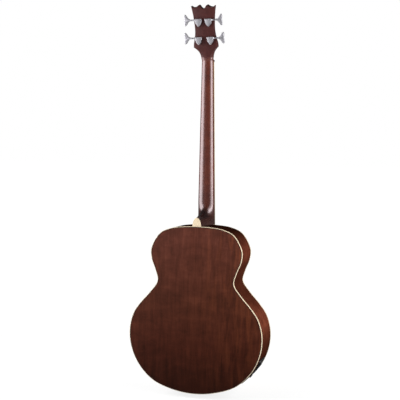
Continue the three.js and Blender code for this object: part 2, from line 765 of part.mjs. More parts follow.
function heelRings() {
  const ring = (z, depth, flat, roundShare) =>
    neckRing({
      front: [FRONT_Y, z],
      back: [FRONT_Y + depth, z],
      half: neckHalfWidth(z),
      flat,
      roundShare,
    });
  const tip = (HEEL_CAP_WIDTH / 2) * HEEL_TIP_FLAT_SHARE;
  const foot = HEEL_RING_SHARES.map((share) => {
    const z = SHOULDER_Z + GAP + (HEEL_CAP_LENGTH - GAP) * share;
    return ring(z, HEEL_DEPTH, (HEEL_CAP_WIDTH / 2) * Math.sqrt(1 - share * share), HEEL_ROUND_SHARE);
  });
  const sweep = HEEL_SWEEP_SHARES.map((share) => {
    const z = SHOULDER_Z + HEEL_CAP_LENGTH + HEEL_SWEEP * share * share;
    const depth = NECK_DEPTH_AT_HEEL + (HEEL_DEPTH - NECK_DEPTH_AT_HEEL) * (1 - share) ** 2;
    const roundShare = HEEL_ROUND_SHARE + (SHAFT_ROUND_SHARE - HEEL_ROUND_SHARE) * share;
    return ring(z, depth, tip, roundShare);
  });
  return [...foot, ...sweep];
}

// Places in the headstock's own frame: across x, y away from the face, z along its length
const headFrame = new THREE.Group();
headFrame.position.set(0, FRONT_Y, NUT_Z);
headFrame.rotation.x = -HEAD_TILT;
guitar.add(headFrame);
guitar.updateMatrixWorld(true);

function headPoint(x, y, z) {
  return new THREE.Vector3(x, y, z).applyMatrix4(headFrame.matrixWorld);
}

// Outline of the headstock from the nut up, as [half width, distance from the nut]
const EAR_UP_SHARE = 0.268;
const EAR = [HEAD_EAR_WIDTH / 2, HEAD_LENGTH * EAR_UP_SHARE];
const HEAD_THROAT_SHARES = [
  [0.005, 0.19],
  [0.05, 0.34],
  [0.16, 0.52],
  [0.36, 0.7],
  [0.67, 0.86],
  [1, 1],
];
const HEAD_SIDE_SHARES = [
  [0.9, 0.325],
  [0.46, 0.415],
  [0.1, 0.505],
  [0, 0.59],
  [0.06, 0.66],
  [0.3, 0.79],
  [0.56, 0.88],
  [1, 0.986],
];
const HEAD_CROWN_SHARES = [
  [0.93, 0.972],
  [0.8, 0.962],
  [0.62, 0.966],
  [0.46, 0.984],
  [0.35, 1],
  [0.28, 0.99],
  [0.16, 0.955],
  [0.07, 0.94],
  [0, 0.937],
];

function headSide() {
  const middle = HEAD_MIDDLE_WIDTH / 2;
  const [, narrowest] = HEAD_SIDE_SHARES.find(([out]) => out === 0);
  return HEAD_SIDE_SHARES.map(([out, up]) => {
    const wide = (up < narrowest ? HEAD_EAR_WIDTH : HEAD_TOP_WIDTH) / 2;
    return [middle + (wide - middle) * out, HEAD_LENGTH * up];
  });
}

// From ear to ear over the crown
function headOutline() {
  const crown = HEAD_CROWN_SHARES.map(([out, up]) => [(HEAD_TOP_WIDTH / 2) * out, HEAD_LENGTH * up]);
  const treble = [EAR, ...headSide(), ...crown];
  const bass = [...treble].reverse().slice(1);
  return [
    ...treble.map(([x, z]) => new THREE.Vector2(x, z)),
    ...bass.map(([x, z]) => new THREE.Vector2(-x, z)),
  ];
}

const HEAD_FRONT = VENEER_THICKNESS + GAP;
const SHAFT_FLAT_SHARE = 0.02;
const THROAT_FLAT_SHARES = [SHAFT_FLAT_SHARE, 0.16, 0.4, 0.68, 0.9, 1];

function throatRings() {
  const nutHalf = NUT_WIDTH / 2;
  const nutEnd = NUT_Z + NUT_THICKNESS + GAP;
  const tilted = (half, z, flatShare) => {
    const front = headPoint(0, HEAD_FRONT, z);
    const back = headPoint(0, HEAD_THICKNESS, z);
    const square = SHAFT_ROUND_SHARE * (1 - flatShare) + flatShare;
    return neckRing({
      front: [front.y, front.z],
      back: [back.y, back.z],
      half,
      flat: half * flatShare,
      roundShare: square,
    });
  };
  const tip = nutHalf * SHAFT_FLAT_SHARE;
  const shaft = neckRing({
    front: [FRONT_Y, NUT_Z - NECK_DEPTH_AT_NUT],
    back: [FRONT_Y + NECK_DEPTH_AT_NUT, NUT_Z - NECK_DEPTH_AT_NUT],
    half: neckHalfWidth(NUT_Z - NECK_DEPTH_AT_NUT),
    flat: tip,
    roundShare: SHAFT_ROUND_SHARE,
  });
  const ledge = neckRing({
    front: [FRONT_Y, nutEnd],
    back: [FRONT_Y + NECK_DEPTH_AT_NUT, NUT_Z],
    half: nutHalf,
    flat: tip,
    roundShare: SHAFT_ROUND_SHARE,
  });
  const throat = HEAD_THROAT_SHARES.map(([out, up], i) => {
    const half = nutHalf + (EAR[0] - nutHalf) * out;
    return tilted(half, EAR[1] * up, THROAT_FLAT_SHARES[i]);
  });
  const past = tilted(EAR[0] - OVERRUN / 2, EAR[1] + OVERRUN, 1);
  return [shaft, ledge, ...throat, past];
}

const upperPost = { across: UPPER_POST_OFFSET, along: UPPER_POST_HEIGHT };
const lowerPost = { across: LOWER_POST_OFFSET, along: LOWER_POST_HEIGHT };
const posts = [
  { name: "tuner_1", side: -1, ...lowerPost, string: 0 },
  { name: "tuner_2", side: -1, ...upperPost, string: 1 },
  { name: "tuner_3", side: 1, ...upperPost, string: 2 },
  { name: "tuner_4", side: 1, ...lowerPost, string: 3 },
];

function inHeadFrame(geometry) {
  return geometry.clone().applyMatrix4(headFrame.matrixWorld);
}

function postHoles(frontY, backY) {
  return posts.map(({ side, across, along }) =>
    plate(circle(side * across, along, POST_HOLE_DIAMETER, ROUND_STEPS), frontY, backY - frontY),
  );
}

function trussPocket(frontY) {
  return box(
    -TRUSS_POCKET_WIDTH / 2,
    TRUSS_POCKET_WIDTH / 2,
    frontY,
    TRUSS_POCKET_DEPTH,
    VENEER_START - OVERRUN,
    TRUSS_POCKET_LENGTH,
  );
}

function addNeck() {
  const shaft = loft([...heelRings(), ...throatRings()]);
  const blade = plate(
    headOutline(),
    HEAD_FRONT,
    HEAD_THICKNESS - HEAD_FRONT,
  );
  const tenonRings = [0, 1].map((end) => {
    const z = end ? SHOULDER_Z + GAP + OVERRUN : SHOULDER_Z - TENON_LENGTH;
    const half = TENON_WIDTH / 2;
    const near = FRONT_Y + BINDING_HEIGHT + GAP;
    return [
      new THREE.Vector3(half, near, z),
      new THREE.Vector3(-half, near, z),
      new THREE.Vector3(-half + TENON_FLARE, near + TENON_DEPTH, z),
      new THREE.Vector3(half - TENON_FLARE, near + TENON_DEPTH, z),
    ];
  });
  const rodRadius = TRUSS_ROD_DIAMETER / 2 + GAP;
  const channel = box(
    -rodRadius,
    rodRadius,
    FRONT_Y - OVERRUN,
    FRONT_Y + TRUSS_ROD_AXIS_DEPTH + rodRadius,
    SHOULDER_Z + HEEL_CAP_THICKNESS,
    NUT_Z + COVER_START + OVERRUN,
  );
  const neck = cut(
    join(shaft, inHeadFrame(blade), loft(tenonRings)),
    channel,
    inHeadFrame(trussPocket(-OVERRUN)),
    ...postHoles(-OVERRUN, HEAD_THICKNESS + OVERRUN).map(inHeadFrame),
  );
  addPiece("neck", neck, mahogany());
  addHeelCap();
}

const HEEL_CAP_SHARES = [0, 0.2, 0.4, 0.6, 0.76, 0.88, 0.96];

function addHeelCap() {
  const points = HEEL_CAP_SHARES.map((share) => [
    (HEEL_CAP_WIDTH / 2) * Math.sqrt(1 - share * share),
    SHOULDER_Z + GAP + (HEEL_CAP_LENGTH - GAP) * share,
  ]);
  const outline = [
    ...points.map(([x, z]) => new THREE.Vector2(x, z)),
    new THREE.Vector2(0, SHOULDER_Z + HEEL_CAP_LENGTH),
    ...points.reverse().map(([x, z]) => new THREE.Vector2(-x, z)),
  ];
  const frontY = FRONT_Y + SHOULDER_DEPTH - HEEL_CAP_THICKNESS;
  addPiece("heel_cap", plate(outline, frontY, HEEL_CAP_THICKNESS), cream());
}

const COVER_SHARES = [
  [1, 0],
  [1, 0.17],
  [0.62, 0.5],
  [0.62, 0.8],
  [0.25, 1],
];

function addHeadFittings() {
  const throat = HEAD_THROAT_SHARES.filter(([, up]) => EAR[1] * up > VENEER_START).map(([out, up]) => [
    NUT_WIDTH / 2 + (EAR[0] - NUT_WIDTH / 2) * out,
    EAR[1] * up,
  ]);
  const lower = [[NUT_WIDTH / 2, VENEER_START], ...throat.slice(0, -1)];
  const outline = [
    ...lower.map(([x, z]) => new THREE.Vector2(x, z)),
    ...headOutline(),
    ...lower.reverse().map(([x, z]) => new THREE.Vector2(-x, z)),
  ];
  const veneer = cut(
    plate(outline, 0, VENEER_THICKNESS),
    trussPocket(-OVERRUN),
    ...postHoles(-OVERRUN, VENEER_THICKNESS + OVERRUN),
  );
  addPiece("headstock_veneer", veneer, darkWood(), headFrame);

  const coverCorners = COVER_SHARES.map(([across, up]) => [
    (COVER_WIDTH / 2) * across,
    COVER_START + COVER_LENGTH * up,
  ]);
  const coverOutline = [
    ...coverCorners.map(([x, z]) => new THREE.Vector2(x, z)),
    ...coverCorners.reverse().map(([x, z]) => new THREE.Vector2(-x, z)),
  ];
  const cover = plate(coverOutline, -GAP - COVER_THICKNESS, COVER_THICKNESS);
  addPiece("truss_rod_cover", cover, blackPlastic(), headFrame);

  const rodLow = SHOULDER_Z + HEEL_CAP_THICKNESS + GAP;
  const rodHigh = NUT_Z + TRUSS_ROD_PAST_NUT;
  const nutLow = rodHigh - TRUSS_NUT_LENGTH;
  const rod = alongZ(
    [
      [0, rodLow],
      [TRUSS_ROD_DIAMETER / 2, rodLow],
      [TRUSS_ROD_DIAMETER / 2, nutLow],
      [TRUSS_NUT_DIAMETER / 2, nutLow],
      [TRUSS_NUT_DIAMETER / 2, rodHigh],
      [0, rodHigh],
    ],
    ROUND_STEPS / 2,
  );
  addPiece("truss_rod", rod.translate(0, FRONT_Y + TRUSS_ROD_AXIS_DEPTH, 0), steel());
}

// Fingerboard: one skin whose stations rise over each fret
const BOARD_ARC_SHARES = [1, 0.5, 0, -0.5, -1];
const FRET_TOP_SHARE = 0.5;

function boardRing(z, raised, inset) {
  const half = neckHalfWidth(z) - inset;
  const top = BOARD_ARC_SHARES.map((share) => {
    const crown = BOARD_CROWN * (1 - share * share);
    return new THREE.Vector3(half * share, BOARD_BACK_Y - BOARD_EDGE_THICKNESS - crown - raised, z);
  });
  return [new THREE.Vector3(-half, BOARD_BACK_Y, z), new THREE.Vector3(half, BOARD_BACK_Y, z), ...top];
}

function addFingerboard() {
  const inset = BOARD_BINDING_THICKNESS + GAP;
  const highZ = NUT_Z - GAP;
  const lowZ = BOARD_END_Z + inset;
  const rings = [boardRing(highZ, 0, inset)];
  for (let fret = 1; fret <= FRETS; fret++) {
    const z = NUT_Z - fretDistance(fret);
    const half = FRET_WIDTH / 2;
    const top = half * FRET_TOP_SHARE;
    rings.push(boardRing(z + half, 0, inset));
    rings.push(boardRing(z + top, FRET_HEIGHT, inset));
    rings.push(boardRing(z - top, FRET_HEIGHT, inset));
    rings.push(boardRing(z - half, 0, inset));
  }
  rings.push(boardRing(lowZ, 0, inset));
  addPiece("fingerboard", loft(rings), rosewood());

  const outerHigh = [neckHalfWidth(highZ), highZ];
  const outerLow = [neckHalfWidth(BOARD_END_Z), BOARD_END_Z];
  const innerHigh = [outerHigh[0] - BOARD_BINDING_THICKNESS, highZ];
  const innerLow = [neckHalfWidth(lowZ) - BOARD_BINDING_THICKNESS, BOARD_END_Z + BOARD_BINDING_THICKNESS];
  const corners = [
    outerHigh,
    innerHigh,
    innerLow,
    [-innerLow[0], innerLow[1]],
    [-innerHigh[0], innerHigh[1]],
    [-outerHigh[0], outerHigh[1]],
    [-outerLow[0], outerLow[1]],
    outerLow,
  ];
  const outline = corners.map(([x, z]) => new THREE.Vector2(x, z));
  const binding = plate(outline, BOARD_BACK_Y - BOARD_EDGE_THICKNESS, BOARD_EDGE_THICKNESS);
  addPiece("fingerboard_binding", binding, cream());
}

// Strings: places where each one crosses the saddle and the nut
const STRING_FLOOR_Y = BOARD_BACK_Y - BOARD_EDGE_THICKNESS - BOARD_CROWN - NUT_FLOOR_ABOVE_BOARD;
const BRIDGE_FACE_Y = FRONT_Y - GAP - BRIDGE_THICKNESS;
const SADDLE_TOP_Y = BRIDGE_FACE_Y - SADDLE_ABOVE_BRIDGE;
const stringX = (i, spread) => spread * (i / (STRING_DIAMETERS.length - 1) - 1 / 2);
const pinZ = SADDLE_Z - PIN_TO_SADDLE;
const stringRise = (i) => pinZ + PIN_HEAD_DIAMETER / 2 + GAP + STRING_DIAMETERS[i] / 2;

function addNut() {
  const half = NUT_WIDTH / 2;
  const backY = FRONT_Y - GAP;
  const topY = STRING_FLOOR_Y - NUT_NOTCH_DEPTH;
  const notches = STRING_DIAMETERS.flatMap((diameter, i) => {
    const low = stringX(i, STRING_SPREAD_AT_NUT) - diameter / 2 - GAP;
    const high = stringX(i, STRING_SPREAD_AT_NUT) + diameter / 2 + GAP;
    return [
      [low, topY],
      [low, STRING_FLOOR_Y],
      [high, STRING_FLOOR_Y],
      [high, topY],
    ];
  });
  const points = [[-half, backY], [-half, topY], ...notches, [half, topY], [half, backY]];
  const shape = new THREE.Shape(points.map(([x, y]) => new THREE.Vector2(x, y)));
  const nut = new THREE.ExtrudeGeometry(shape, { depth: NUT_THICKNESS, bevelEnabled: false });
  addPiece("nut", nut.translate(0, 0, NUT_Z), darkWood());
}

const BRIDGE_PROFILE_SHARES = [
  [1, 0],
  [0.94, 0.12],
  [0.84, 0.5],
  [0.72, 1],
];

function bridgeBody() {
  const half = BRIDGE_WIDTH / 2;
  const backY = FRONT_Y - GAP;
  const rise = BRIDGE_THICKNESS - BRIDGE_WING_THICKNESS;
  const wing = BRIDGE_PROFILE_SHARES.map(([out, up]) => [
    half * out,
    backY - BRIDGE_WING_THICKNESS - rise * up,
  ]);
  const profile = [[half, backY], ...wing, ...[...wing].reverse().map(([x, y]) => [-x, y]), [-half, backY]];
  const lowZ = SADDLE_Z + SADDLE_TO_BRIDGE_EDGE - BRIDGE_LENGTH;
  const shape = new THREE.Shape(profile.map(([x, y]) => new THREE.Vector2(x, y)));
  const bar = new THREE.ExtrudeGeometry(shape, { depth: BRIDGE_LENGTH, bevelEnabled: false });
  bar.translate(0, 0, lowZ);
  const plan = new THREE.Shape();
  const highZ = lowZ + BRIDGE_LENGTH;
  const r = BRIDGE_CORNER;
  plan.moveTo(-half + r, lowZ).lineTo(half - r, lowZ).quadraticCurveTo(half, lowZ, half, lowZ + r);
  plan.lineTo(half, highZ - r).quadraticCurveTo(half, highZ, half - r, highZ).lineTo(-half + r, highZ);
  plan.quadraticCurveTo(-half, highZ, -half, highZ - r).lineTo(-half, lowZ + r);
  plan.quadraticCurveTo(-half, lowZ, -half + r, lowZ);
  const outline = plan.getPoints(CORNER_STEPS).slice(0, -1);
  return common(bar, plate(outline, FRONT_Y - 2 * BRIDGE_THICKNESS, 2 * BRIDGE_THICKNESS));
}

const PIN_RIM_SHARE = 0.33;
const PIN_CROWN_SHARE = 0.5;

function pinProfile() {
  const head = PIN_HEAD_DIAMETER / 2;
  const shank = PIN_SHANK_DIAMETER / 2;
  return [
    [0, -PIN_SHANK_LENGTH],
    [shank - GAP, -PIN_SHANK_LENGTH],
    [shank, 0],
    [shank, GAP],
    [head, GAP],
    [head, PIN_HEAD_HEIGHT * PIN_RIM_SHARE],
    [head * PIN_CROWN_SHARE, PIN_HEAD_HEIGHT - GAP],
    [0, PIN_HEAD_HEIGHT],
  ];
}

function addBridge() {
  const slotHalf = SADDLE_THICKNESS / 2 + GAP;
  const slotX = SADDLE_WIDTH / 2 + GAP;
  const slotFloor = BRIDGE_FACE_Y + SADDLE_SLOT_DEPTH;
  const slotTop = BRIDGE_FACE_Y - OVERRUN;
  const slot = box(-slotX, slotX, slotTop, slotFloor, SADDLE_Z - slotHalf, SADDLE_Z + slotHalf);
  const holes = STRING_DIAMETERS.flatMap((diameter, i) => {
    const x = stringX(i, STRING_SPREAD_AT_SADDLE);
    const floor = BRIDGE_FACE_Y + PIN_SHANK_LENGTH + GAP;
    const depth = floor - BRIDGE_FACE_Y + OVERRUN;
    const bore = plate(circle(x, pinZ, PIN_SHANK_DIAMETER + 2 * GAP, ROUND_STEPS), floor - depth, depth);
    const half = diameter / 2 + GAP;
    const groove = box(x - half, x + half, floor - depth, floor, pinZ, stringRise(i) + half);
    return [bore, groove];
  });
  addPiece("bridge", cut(bridgeBody(), slot, ...holes), rosewood());

  const saddleBack = slotFloor - GAP - PICKUP_HEIGHT - GAP;
  const saddleHalf = SADDLE_THICKNESS / 2;
  const saddle = box(
    -SADDLE_WIDTH / 2,
    SADDLE_WIDTH / 2,
    SADDLE_TOP_Y,
    saddleBack,
    SADDLE_Z - saddleHalf,
    SADDLE_Z + saddleHalf,
  );
  addPiece("saddle", saddle, bone());
  const pickup = box(
    -SADDLE_WIDTH / 2,
    SADDLE_WIDTH / 2,
    slotFloor - GAP - PICKUP_HEIGHT,
    slotFloor - GAP,
    SADDLE_Z - saddleHalf,
    SADDLE_Z + saddleHalf,
  );
  addPiece("pickup", pickup, steel());
  STRING_DIAMETERS.forEach((_, i) => {
    const x = stringX(i, STRING_SPREAD_AT_SADDLE);
    const pin = turned(pinProfile(), PIN_STEPS).rotateX(Math.PI).translate(x, BRIDGE_FACE_Y, pinZ);
    addPiece("bridge_pin_" + (i + 1), pin, blackPlastic());
  });
}

// A round string along a path, carried without twist
function sweptString(path, radius) {
  const rings = [];
  let normal = new THREE.Vector3(1, 0, 0);
  path.forEach((p, i) => {
    const before = path[Math.max(i - 1, 0)];
    const after = path[Math.min(i + 1, path.length - 1)];
    const back = p.clone().sub(before).normalize();
    const ahead = after.clone().sub(p).normalize();
    const tangent = back.clone().add(ahead).normalize();
    normal = normal.clone().addScaledVector(tangent, -normal.dot(tangent)).normalize();
    const binormal = new THREE.Vector3().crossVectors(tangent, normal);
    const ring = [];
    for (let k = 0; k < STRING_SIDES; k++) {
      const angle = (k / STRING_SIDES) * 2 * Math.PI;
      ring.push(
        p
          .clone()
          .addScaledVector(normal, radius * Math.cos(angle))
          .addScaledVector(binormal, radius * Math.sin(angle)),
      );
    }
    rings.push(ring);
  });
  return loft(rings);
}

function leastSelfGap(path, diameter) {
  let least = Infinity;
  for (let i = 0; i < path.length; i++) {
    for (let j = i + WINDING_STEPS / 2; j < path.length; j++) {
      least = Math.min(least, path[i].distanceTo(path[j]));
    }
  }
  return least - diameter;
}

// Path of a string from its pin over saddle and nut, then up its post in turns
function stringPath(post) {
  const diameter = STRING_DIAMETERS[post.string];
  const r = diameter / 2;
  const saddleX = stringX(post.string, STRING_SPREAD_AT_SADDLE);
  const nutX = stringX(post.string, STRING_SPREAD_AT_NUT);
  const nutY = STRING_FLOOR_Y - GAP - r;
  const riseZ = stringRise(post.string);
  const path = [
    new THREE.Vector3(saddleX, BRIDGE_FACE_Y + PIN_SHANK_LENGTH, riseZ),
    new THREE.Vector3(saddleX, BRIDGE_FACE_Y, riseZ),
    new THREE.Vector3(saddleX, SADDLE_TOP_Y - GAP - r, SADDLE_Z - SADDLE_THICKNESS / 2),
    new THREE.Vector3(saddleX, SADDLE_TOP_Y - GAP - r, SADDLE_Z + SADDLE_THICKNESS / 2),
    new THREE.Vector3(nutX, nutY, NUT_Z),
    new THREE.Vector3(nutX, nutY, NUT_Z + NUT_THICKNESS),
  ];
  const start = headFrame.worldToLocal(path[path.length - 1].clone());
  const reach = POST_WAIST_DIAMETER / 2 + GAP + r;
  const centre = new THREE.Vector2(post.across, post.along);
  const from = new THREE.Vector2(Math.abs(start.x), start.z);
  const toPost = centre.clone().sub(from);
  const heading = toPost.angle() + Math.asin(reach / toPost.length());
  const first = heading + Math.PI / 2;
  const seat = -(GAP + BUSHING_FLANGE_THICKNESS + GAP + POST_FLANGE_THICKNESS + GAP + r + GAP);
  const pitch = diameter + STRING_GAP;
  const steps = Math.round(WINDING_TURNS * WINDING_STEPS);
  for (let i = 0; i <= steps; i++) {
    const turn = i / WINDING_STEPS;
    const angle = first - turn * 2 * Math.PI;
    path.push(
      headPoint(
        post.side * (centre.x + reach * Math.cos(angle)),
        seat - pitch * turn,
        centre.y + reach * Math.sin(angle),
      ),
    );
  }
  return path;
}

function addStrings() {
  posts.forEach((post) => {
    const diameter = STRING_DIAMETERS[post.string];
    const path = stringPath(post);
    addPiece("string_" + (post.string + 1), sweptString(path, diameter / 2), bronze());
    const gap = leastSelfGap(path, diameter).toFixed(2);
    console.log("string", post.string + 1, "least gap to itself", gap, "mm");
  });
}

// Housing outline round the post axis: square above, round below, with a screw tab
const HOUSING_TOP = WORM_AXIS_TO_POST + WORM_DIAMETER / 2 + RUNNING_GAP + HOUSING_WALL;
const HOUSING_ROUND_ANGLES = [10, -12, -34, -52];
const TAB_ANGLES = [-30, -60, -90];

function housingOutline(inset) {
  const half = HOUSING_WIDTH / 2 - inset;
  const radius = GEAR_DIAMETER / 2 + RUNNING_GAP + HOUSING_WALL - inset;
  const tab = HOUSING_TAB_DIAMETER / 2;
  const degrees = THREE.MathUtils.degToRad;
  const right = [
    [half, HOUSING_TOP - inset],
    [half, HOUSING_TOP - HOUSING_SHOULDER_DROP],
    ...HOUSING_ROUND_ANGLES.map((a) => [radius * Math.cos(degrees(a)), radius * Math.sin(degrees(a))]),
  ];
  if (inset === 0) {
    TAB_ANGLES.forEach((a) => {
      right.push([tab * Math.cos(degrees(a)), -HOUSING_TAB_REACH + tab * Math.sin(degrees(a))]);
    });
  } else {
    right.push([0, -radius]);
  }
  const left = [...right].reverse().slice(1);
  return [
    ...right.map(([x, z]) => new THREE.Vector2(x, z)),
    ...left.map(([x, z]) => new THREE.Vector2(-x, z)),
  ];
}

function housing() {
  const seatY = HEAD_THICKNESS + GAP;
  const shape = new THREE.Shape(housingOutline(0));
  const depth = HOUSING_HEIGHT - HOUSING_BEVEL;
  const shell = new THREE.ExtrudeGeometry(shape, {
    depth: depth - HOUSING_BEVEL,
    bevelThickness: HOUSING_BEVEL,
    bevelSize: HOUSING_BEVEL,
    bevelOffset: -HOUSING_BEVEL,
    bevelSegments: 1,
  });
  shell.rotateX(Math.PI / 2).translate(0, seatY + depth, 0);
  const cavityDepth = HOUSING_HEIGHT - HOUSING_WALL + OVERRUN;
  const cavity = plate(housingOutline(HOUSING_WALL), seatY - OVERRUN, cavityDepth);
  const boreRadius = KEY_SHAFT_DIAMETER / 2 + RUNNING_GAP;
  const boreStart = HOUSING_WIDTH / 2 - HOUSING_WALL - OVERRUN;
  const bore = acrossX(
    [
      [0, boreStart],
      [boreRadius, boreStart],
      [boreRadius, HOUSING_WIDTH],
      [0, HOUSING_WIDTH],
    ],
    KEY_STEPS,
  );
  bore.translate(0, HEAD_THICKNESS + GEAR_LIFT, WORM_AXIS_TO_POST);
  return cut(shell, cavity, bore);
}

// Turned piece whose axis is the +X line
function acrossX(profile, steps) {
  return turned(profile, steps).rotateZ(-Math.PI / 2);
}

// Key: worm and shaft with a wide flared button, cut from one outline
const BUTTON_SHARES = [
  [0.03, 0],
  [0, 0.55],
  [0.02, 0.88],
  [0.12, 1],
  [0.26, 0.94],
  [0.4, 0.76],
  [0.56, 0.45],
  [0.76, 0.22],
  [1, 0.13],
];

function buttonBlade() {
  const right = BUTTON_SHARES.map(([back, up]) => [
    KEY_REACH - BUTTON_BEVEL - (BUTTON_WIDTH - BUTTON_BEVEL) * back,
    (BUTTON_HEIGHT / 2 - BUTTON_BEVEL) * up,
  ]);
  const upper = right.map(([x, z]) => new THREE.Vector2(x, z));
  const lower = [...right].reverse().slice(0, -1).map(([x, z]) => new THREE.Vector2(x, -z));
  const shape = new THREE.Shape([...upper, ...lower]);
  const blade = new THREE.ExtrudeGeometry(shape, {
    depth: BUTTON_THICKNESS - 2 * BUTTON_BEVEL,
    bevelThickness: BUTTON_BEVEL,
    bevelSize: BUTTON_BEVEL,
    bevelSegments: 1,
  });
  return blade.rotateX(Math.PI / 2).translate(0, BUTTON_THICKNESS / 2 - BUTTON_BEVEL, 0);
}

const KEY_SLEEVE_SHARE = 0.25;
const KEY_TIP_SHARE = 0.6;

function key() {
  const shaft = KEY_SHAFT_DIAMETER / 2;
  const worm = WORM_DIAMETER / 2;
  const sleeve = KEY_SLEEVE_DIAMETER / 2;
  const collar = KEY_COLLAR_DIAMETER / 2;
  const inner = HOUSING_WIDTH / 2 - HOUSING_WALL - GAP;
  const collarStart = HOUSING_WIDTH / 2 + GAP;
  const stem = KEY_REACH - BUTTON_WIDTH;
  const spindle = acrossX(
    [
      [0, -inner],
      [shaft, -inner],
      [shaft, -WORM_LENGTH / 2],
      [worm, -WORM_LENGTH / 2],
      [worm, WORM_LENGTH / 2],
      [shaft, WORM_LENGTH / 2],
      [shaft, collarStart],
      [collar, collarStart],
      [collar, collarStart + KEY_COLLAR_LENGTH],
      [sleeve, collarStart + KEY_COLLAR_LENGTH],
      [sleeve, stem + BUTTON_WIDTH * KEY_SLEEVE_SHARE],
      [0, stem + BUTTON_WIDTH * KEY_TIP_SHARE],
    ],
    KEY_STEPS,
  );
  return join(spindle, buttonBlade());
}

function post() {
  const waistStart = GAP + BUSHING_FLANGE_THICKNESS + GAP;
  const waistEnd = waistStart + POST_FLANGE_THICKNESS + POST_WAIST_LENGTH;
  const gearMiddle = -(HEAD_THICKNESS + GEAR_LIFT);
  const gear = GEAR_DIAMETER / 2;
  const shaft = POST_SHAFT_DIAMETER / 2;
  const body = turned([
    [0, gearMiddle - GEAR_THICKNESS / 2],
    [gear, gearMiddle - GEAR_THICKNESS / 2],
    [gear, gearMiddle + GEAR_THICKNESS / 2],
    [shaft, gearMiddle + GEAR_THICKNESS / 2],
    [shaft, waistStart],
    [POST_FLANGE_DIAMETER / 2, waistStart],
    [POST_FLANGE_DIAMETER / 2, waistStart + POST_FLANGE_THICKNESS],
    [POST_WAIST_DIAMETER / 2, waistStart + POST_FLANGE_THICKNESS],
    [POST_WAIST_DIAMETER / 2, waistEnd],
    [POST_HEAD_DIAMETER / 2, waistEnd],
    [POST_HEAD_DIAMETER / 2, waistEnd + POST_HEAD_LENGTH],
    [0, waistEnd + POST_HEAD_LENGTH],
  ]).rotateX(Math.PI);
  const slot = box(
    -POST_SLOT_WIDTH / 2,
    POST_SLOT_WIDTH / 2,
    -(waistEnd + POST_HEAD_LENGTH + OVERRUN),
    -waistEnd,
    -POST_HEAD_DIAMETER,
    POST_HEAD_DIAMETER,
  );
  return cut(body, slot);
}

function bushing() {
  const bore = POST_SHAFT_DIAMETER / 2 + RUNNING_GAP;
  const sleeve = BUSHING_SLEEVE_DIAMETER / 2;
  const flange = BUSHING_FLANGE_DIAMETER / 2;
  const profile = [
    [bore, -BUSHING_SLEEVE_LENGTH],
    [sleeve, -BUSHING_SLEEVE_LENGTH],
    [sleeve, GAP],
    [flange, GAP],
    [flange, GAP + BUSHING_FLANGE_THICKNESS - BUSHING_BEVEL],
    [flange - BUSHING_BEVEL, GAP + BUSHING_FLANGE_THICKNESS],
    [bore, GAP + BUSHING_FLANGE_THICKNESS],
    [bore, -BUSHING_SLEEVE_LENGTH],
  ];
  return turned(profile).rotateX(Math.PI);
}

function addTuners() {
  posts.forEach(({ name, side, across, along }) => {
    const machine = new THREE.Group();
    machine.position.set(side * across, 0, along);
    headFrame.add(machine);
    const handed = (geometry) => (side > 0 ? geometry : mirrored(geometry));
    addPiece(name + "_housing", handed(housing()), chrome(), machine);
    addPiece(name + "_post", post(), chrome(), machine);
    addPiece(name + "_bushing", bushing(), chrome(), machine);
    const keyMesh = addPiece(name + "_key", handed(key()), chrome(), machine);
    keyMesh.position.set(0, HEAD_THICKNESS + GEAR_LIFT, WORM_AXIS_TO_POST);
  });
}

function addEndPin() {
  const neckRadius = END_PIN_NECK_DIAMETER / 2;
  const baseEnd = END_PIN_LENGTH - GAP;
  const profile = [
    [0, 0],
    [END_PIN_HEAD_DIAMETER / 2 - END_PIN_BEVEL, 0],
    [END_PIN_HEAD_DIAMETER / 2, END_PIN_BEVEL],
    [END_PIN_HEAD_DIAMETER / 2, END_PIN_HEAD_THICKNESS - END_PIN_BEVEL],
    [neckRadius, END_PIN_HEAD_THICKNESS + END_PIN_BEVEL],
    [neckRadius, baseEnd - END_PIN_BASE_THICKNESS * 2],
    [END_PIN_BASE_DIAMETER / 2, baseEnd - END_PIN_BASE_THICKNESS],
    [END_PIN_BASE_DIAMETER / 2, baseEnd],
    [END_PIN_SHANK_DIAMETER / 2, baseEnd],
    [END_PIN_SHANK_DIAMETER / 2, baseEnd + END_PIN_SHANK_LENGTH - OVERRUN],
    [END_PIN_SHANK_DIAMETER / 2 - OVERRUN, baseEnd + END_PIN_SHANK_LENGTH],
    [0, baseEnd + END_PIN_SHANK_LENGTH],
  ];
  addPiece("end_pin", alongZ(profile), blackPlastic());
}

// Jack plate on the bass side of the lower bout, centred a distance along the rim from the tail
function jackPlace() {
  const bass = RIM.slice(HALF_RIM_STEPS);
  let walked = 0;
  for (let i = 0; i + 1 < bass.length; i++) {
    const a = new THREE.Vector2(bass[i].x, bass[i].z);
    const b = new THREE.Vector2(bass[i + 1].x, bass[i + 1].z);
    const step = a.distanceTo(b);
    if (walked + step > JACK_PLATE_TAIL_DISTANCE) {
      const share = (JACK_PLATE_TAIL_DISTANCE - walked) / step;
      const p = a.lerp(b, share);
      const normal = new THREE.Vector2(bass[i].nx, bass[i].nz).lerp(
        new THREE.Vector2(bass[i + 1].nx, bass[i + 1].nz),
        share,
      );
      return { p, normal: normal.normalize() };
    }
    walked += step;
  }
  throw new Error("the jack plate lies past the end of the rim");
}
const jack = jackPlace();
const jackMiddleY = (FRONT_Y + backY(jack.p.x, jack.p.y)) / 2;

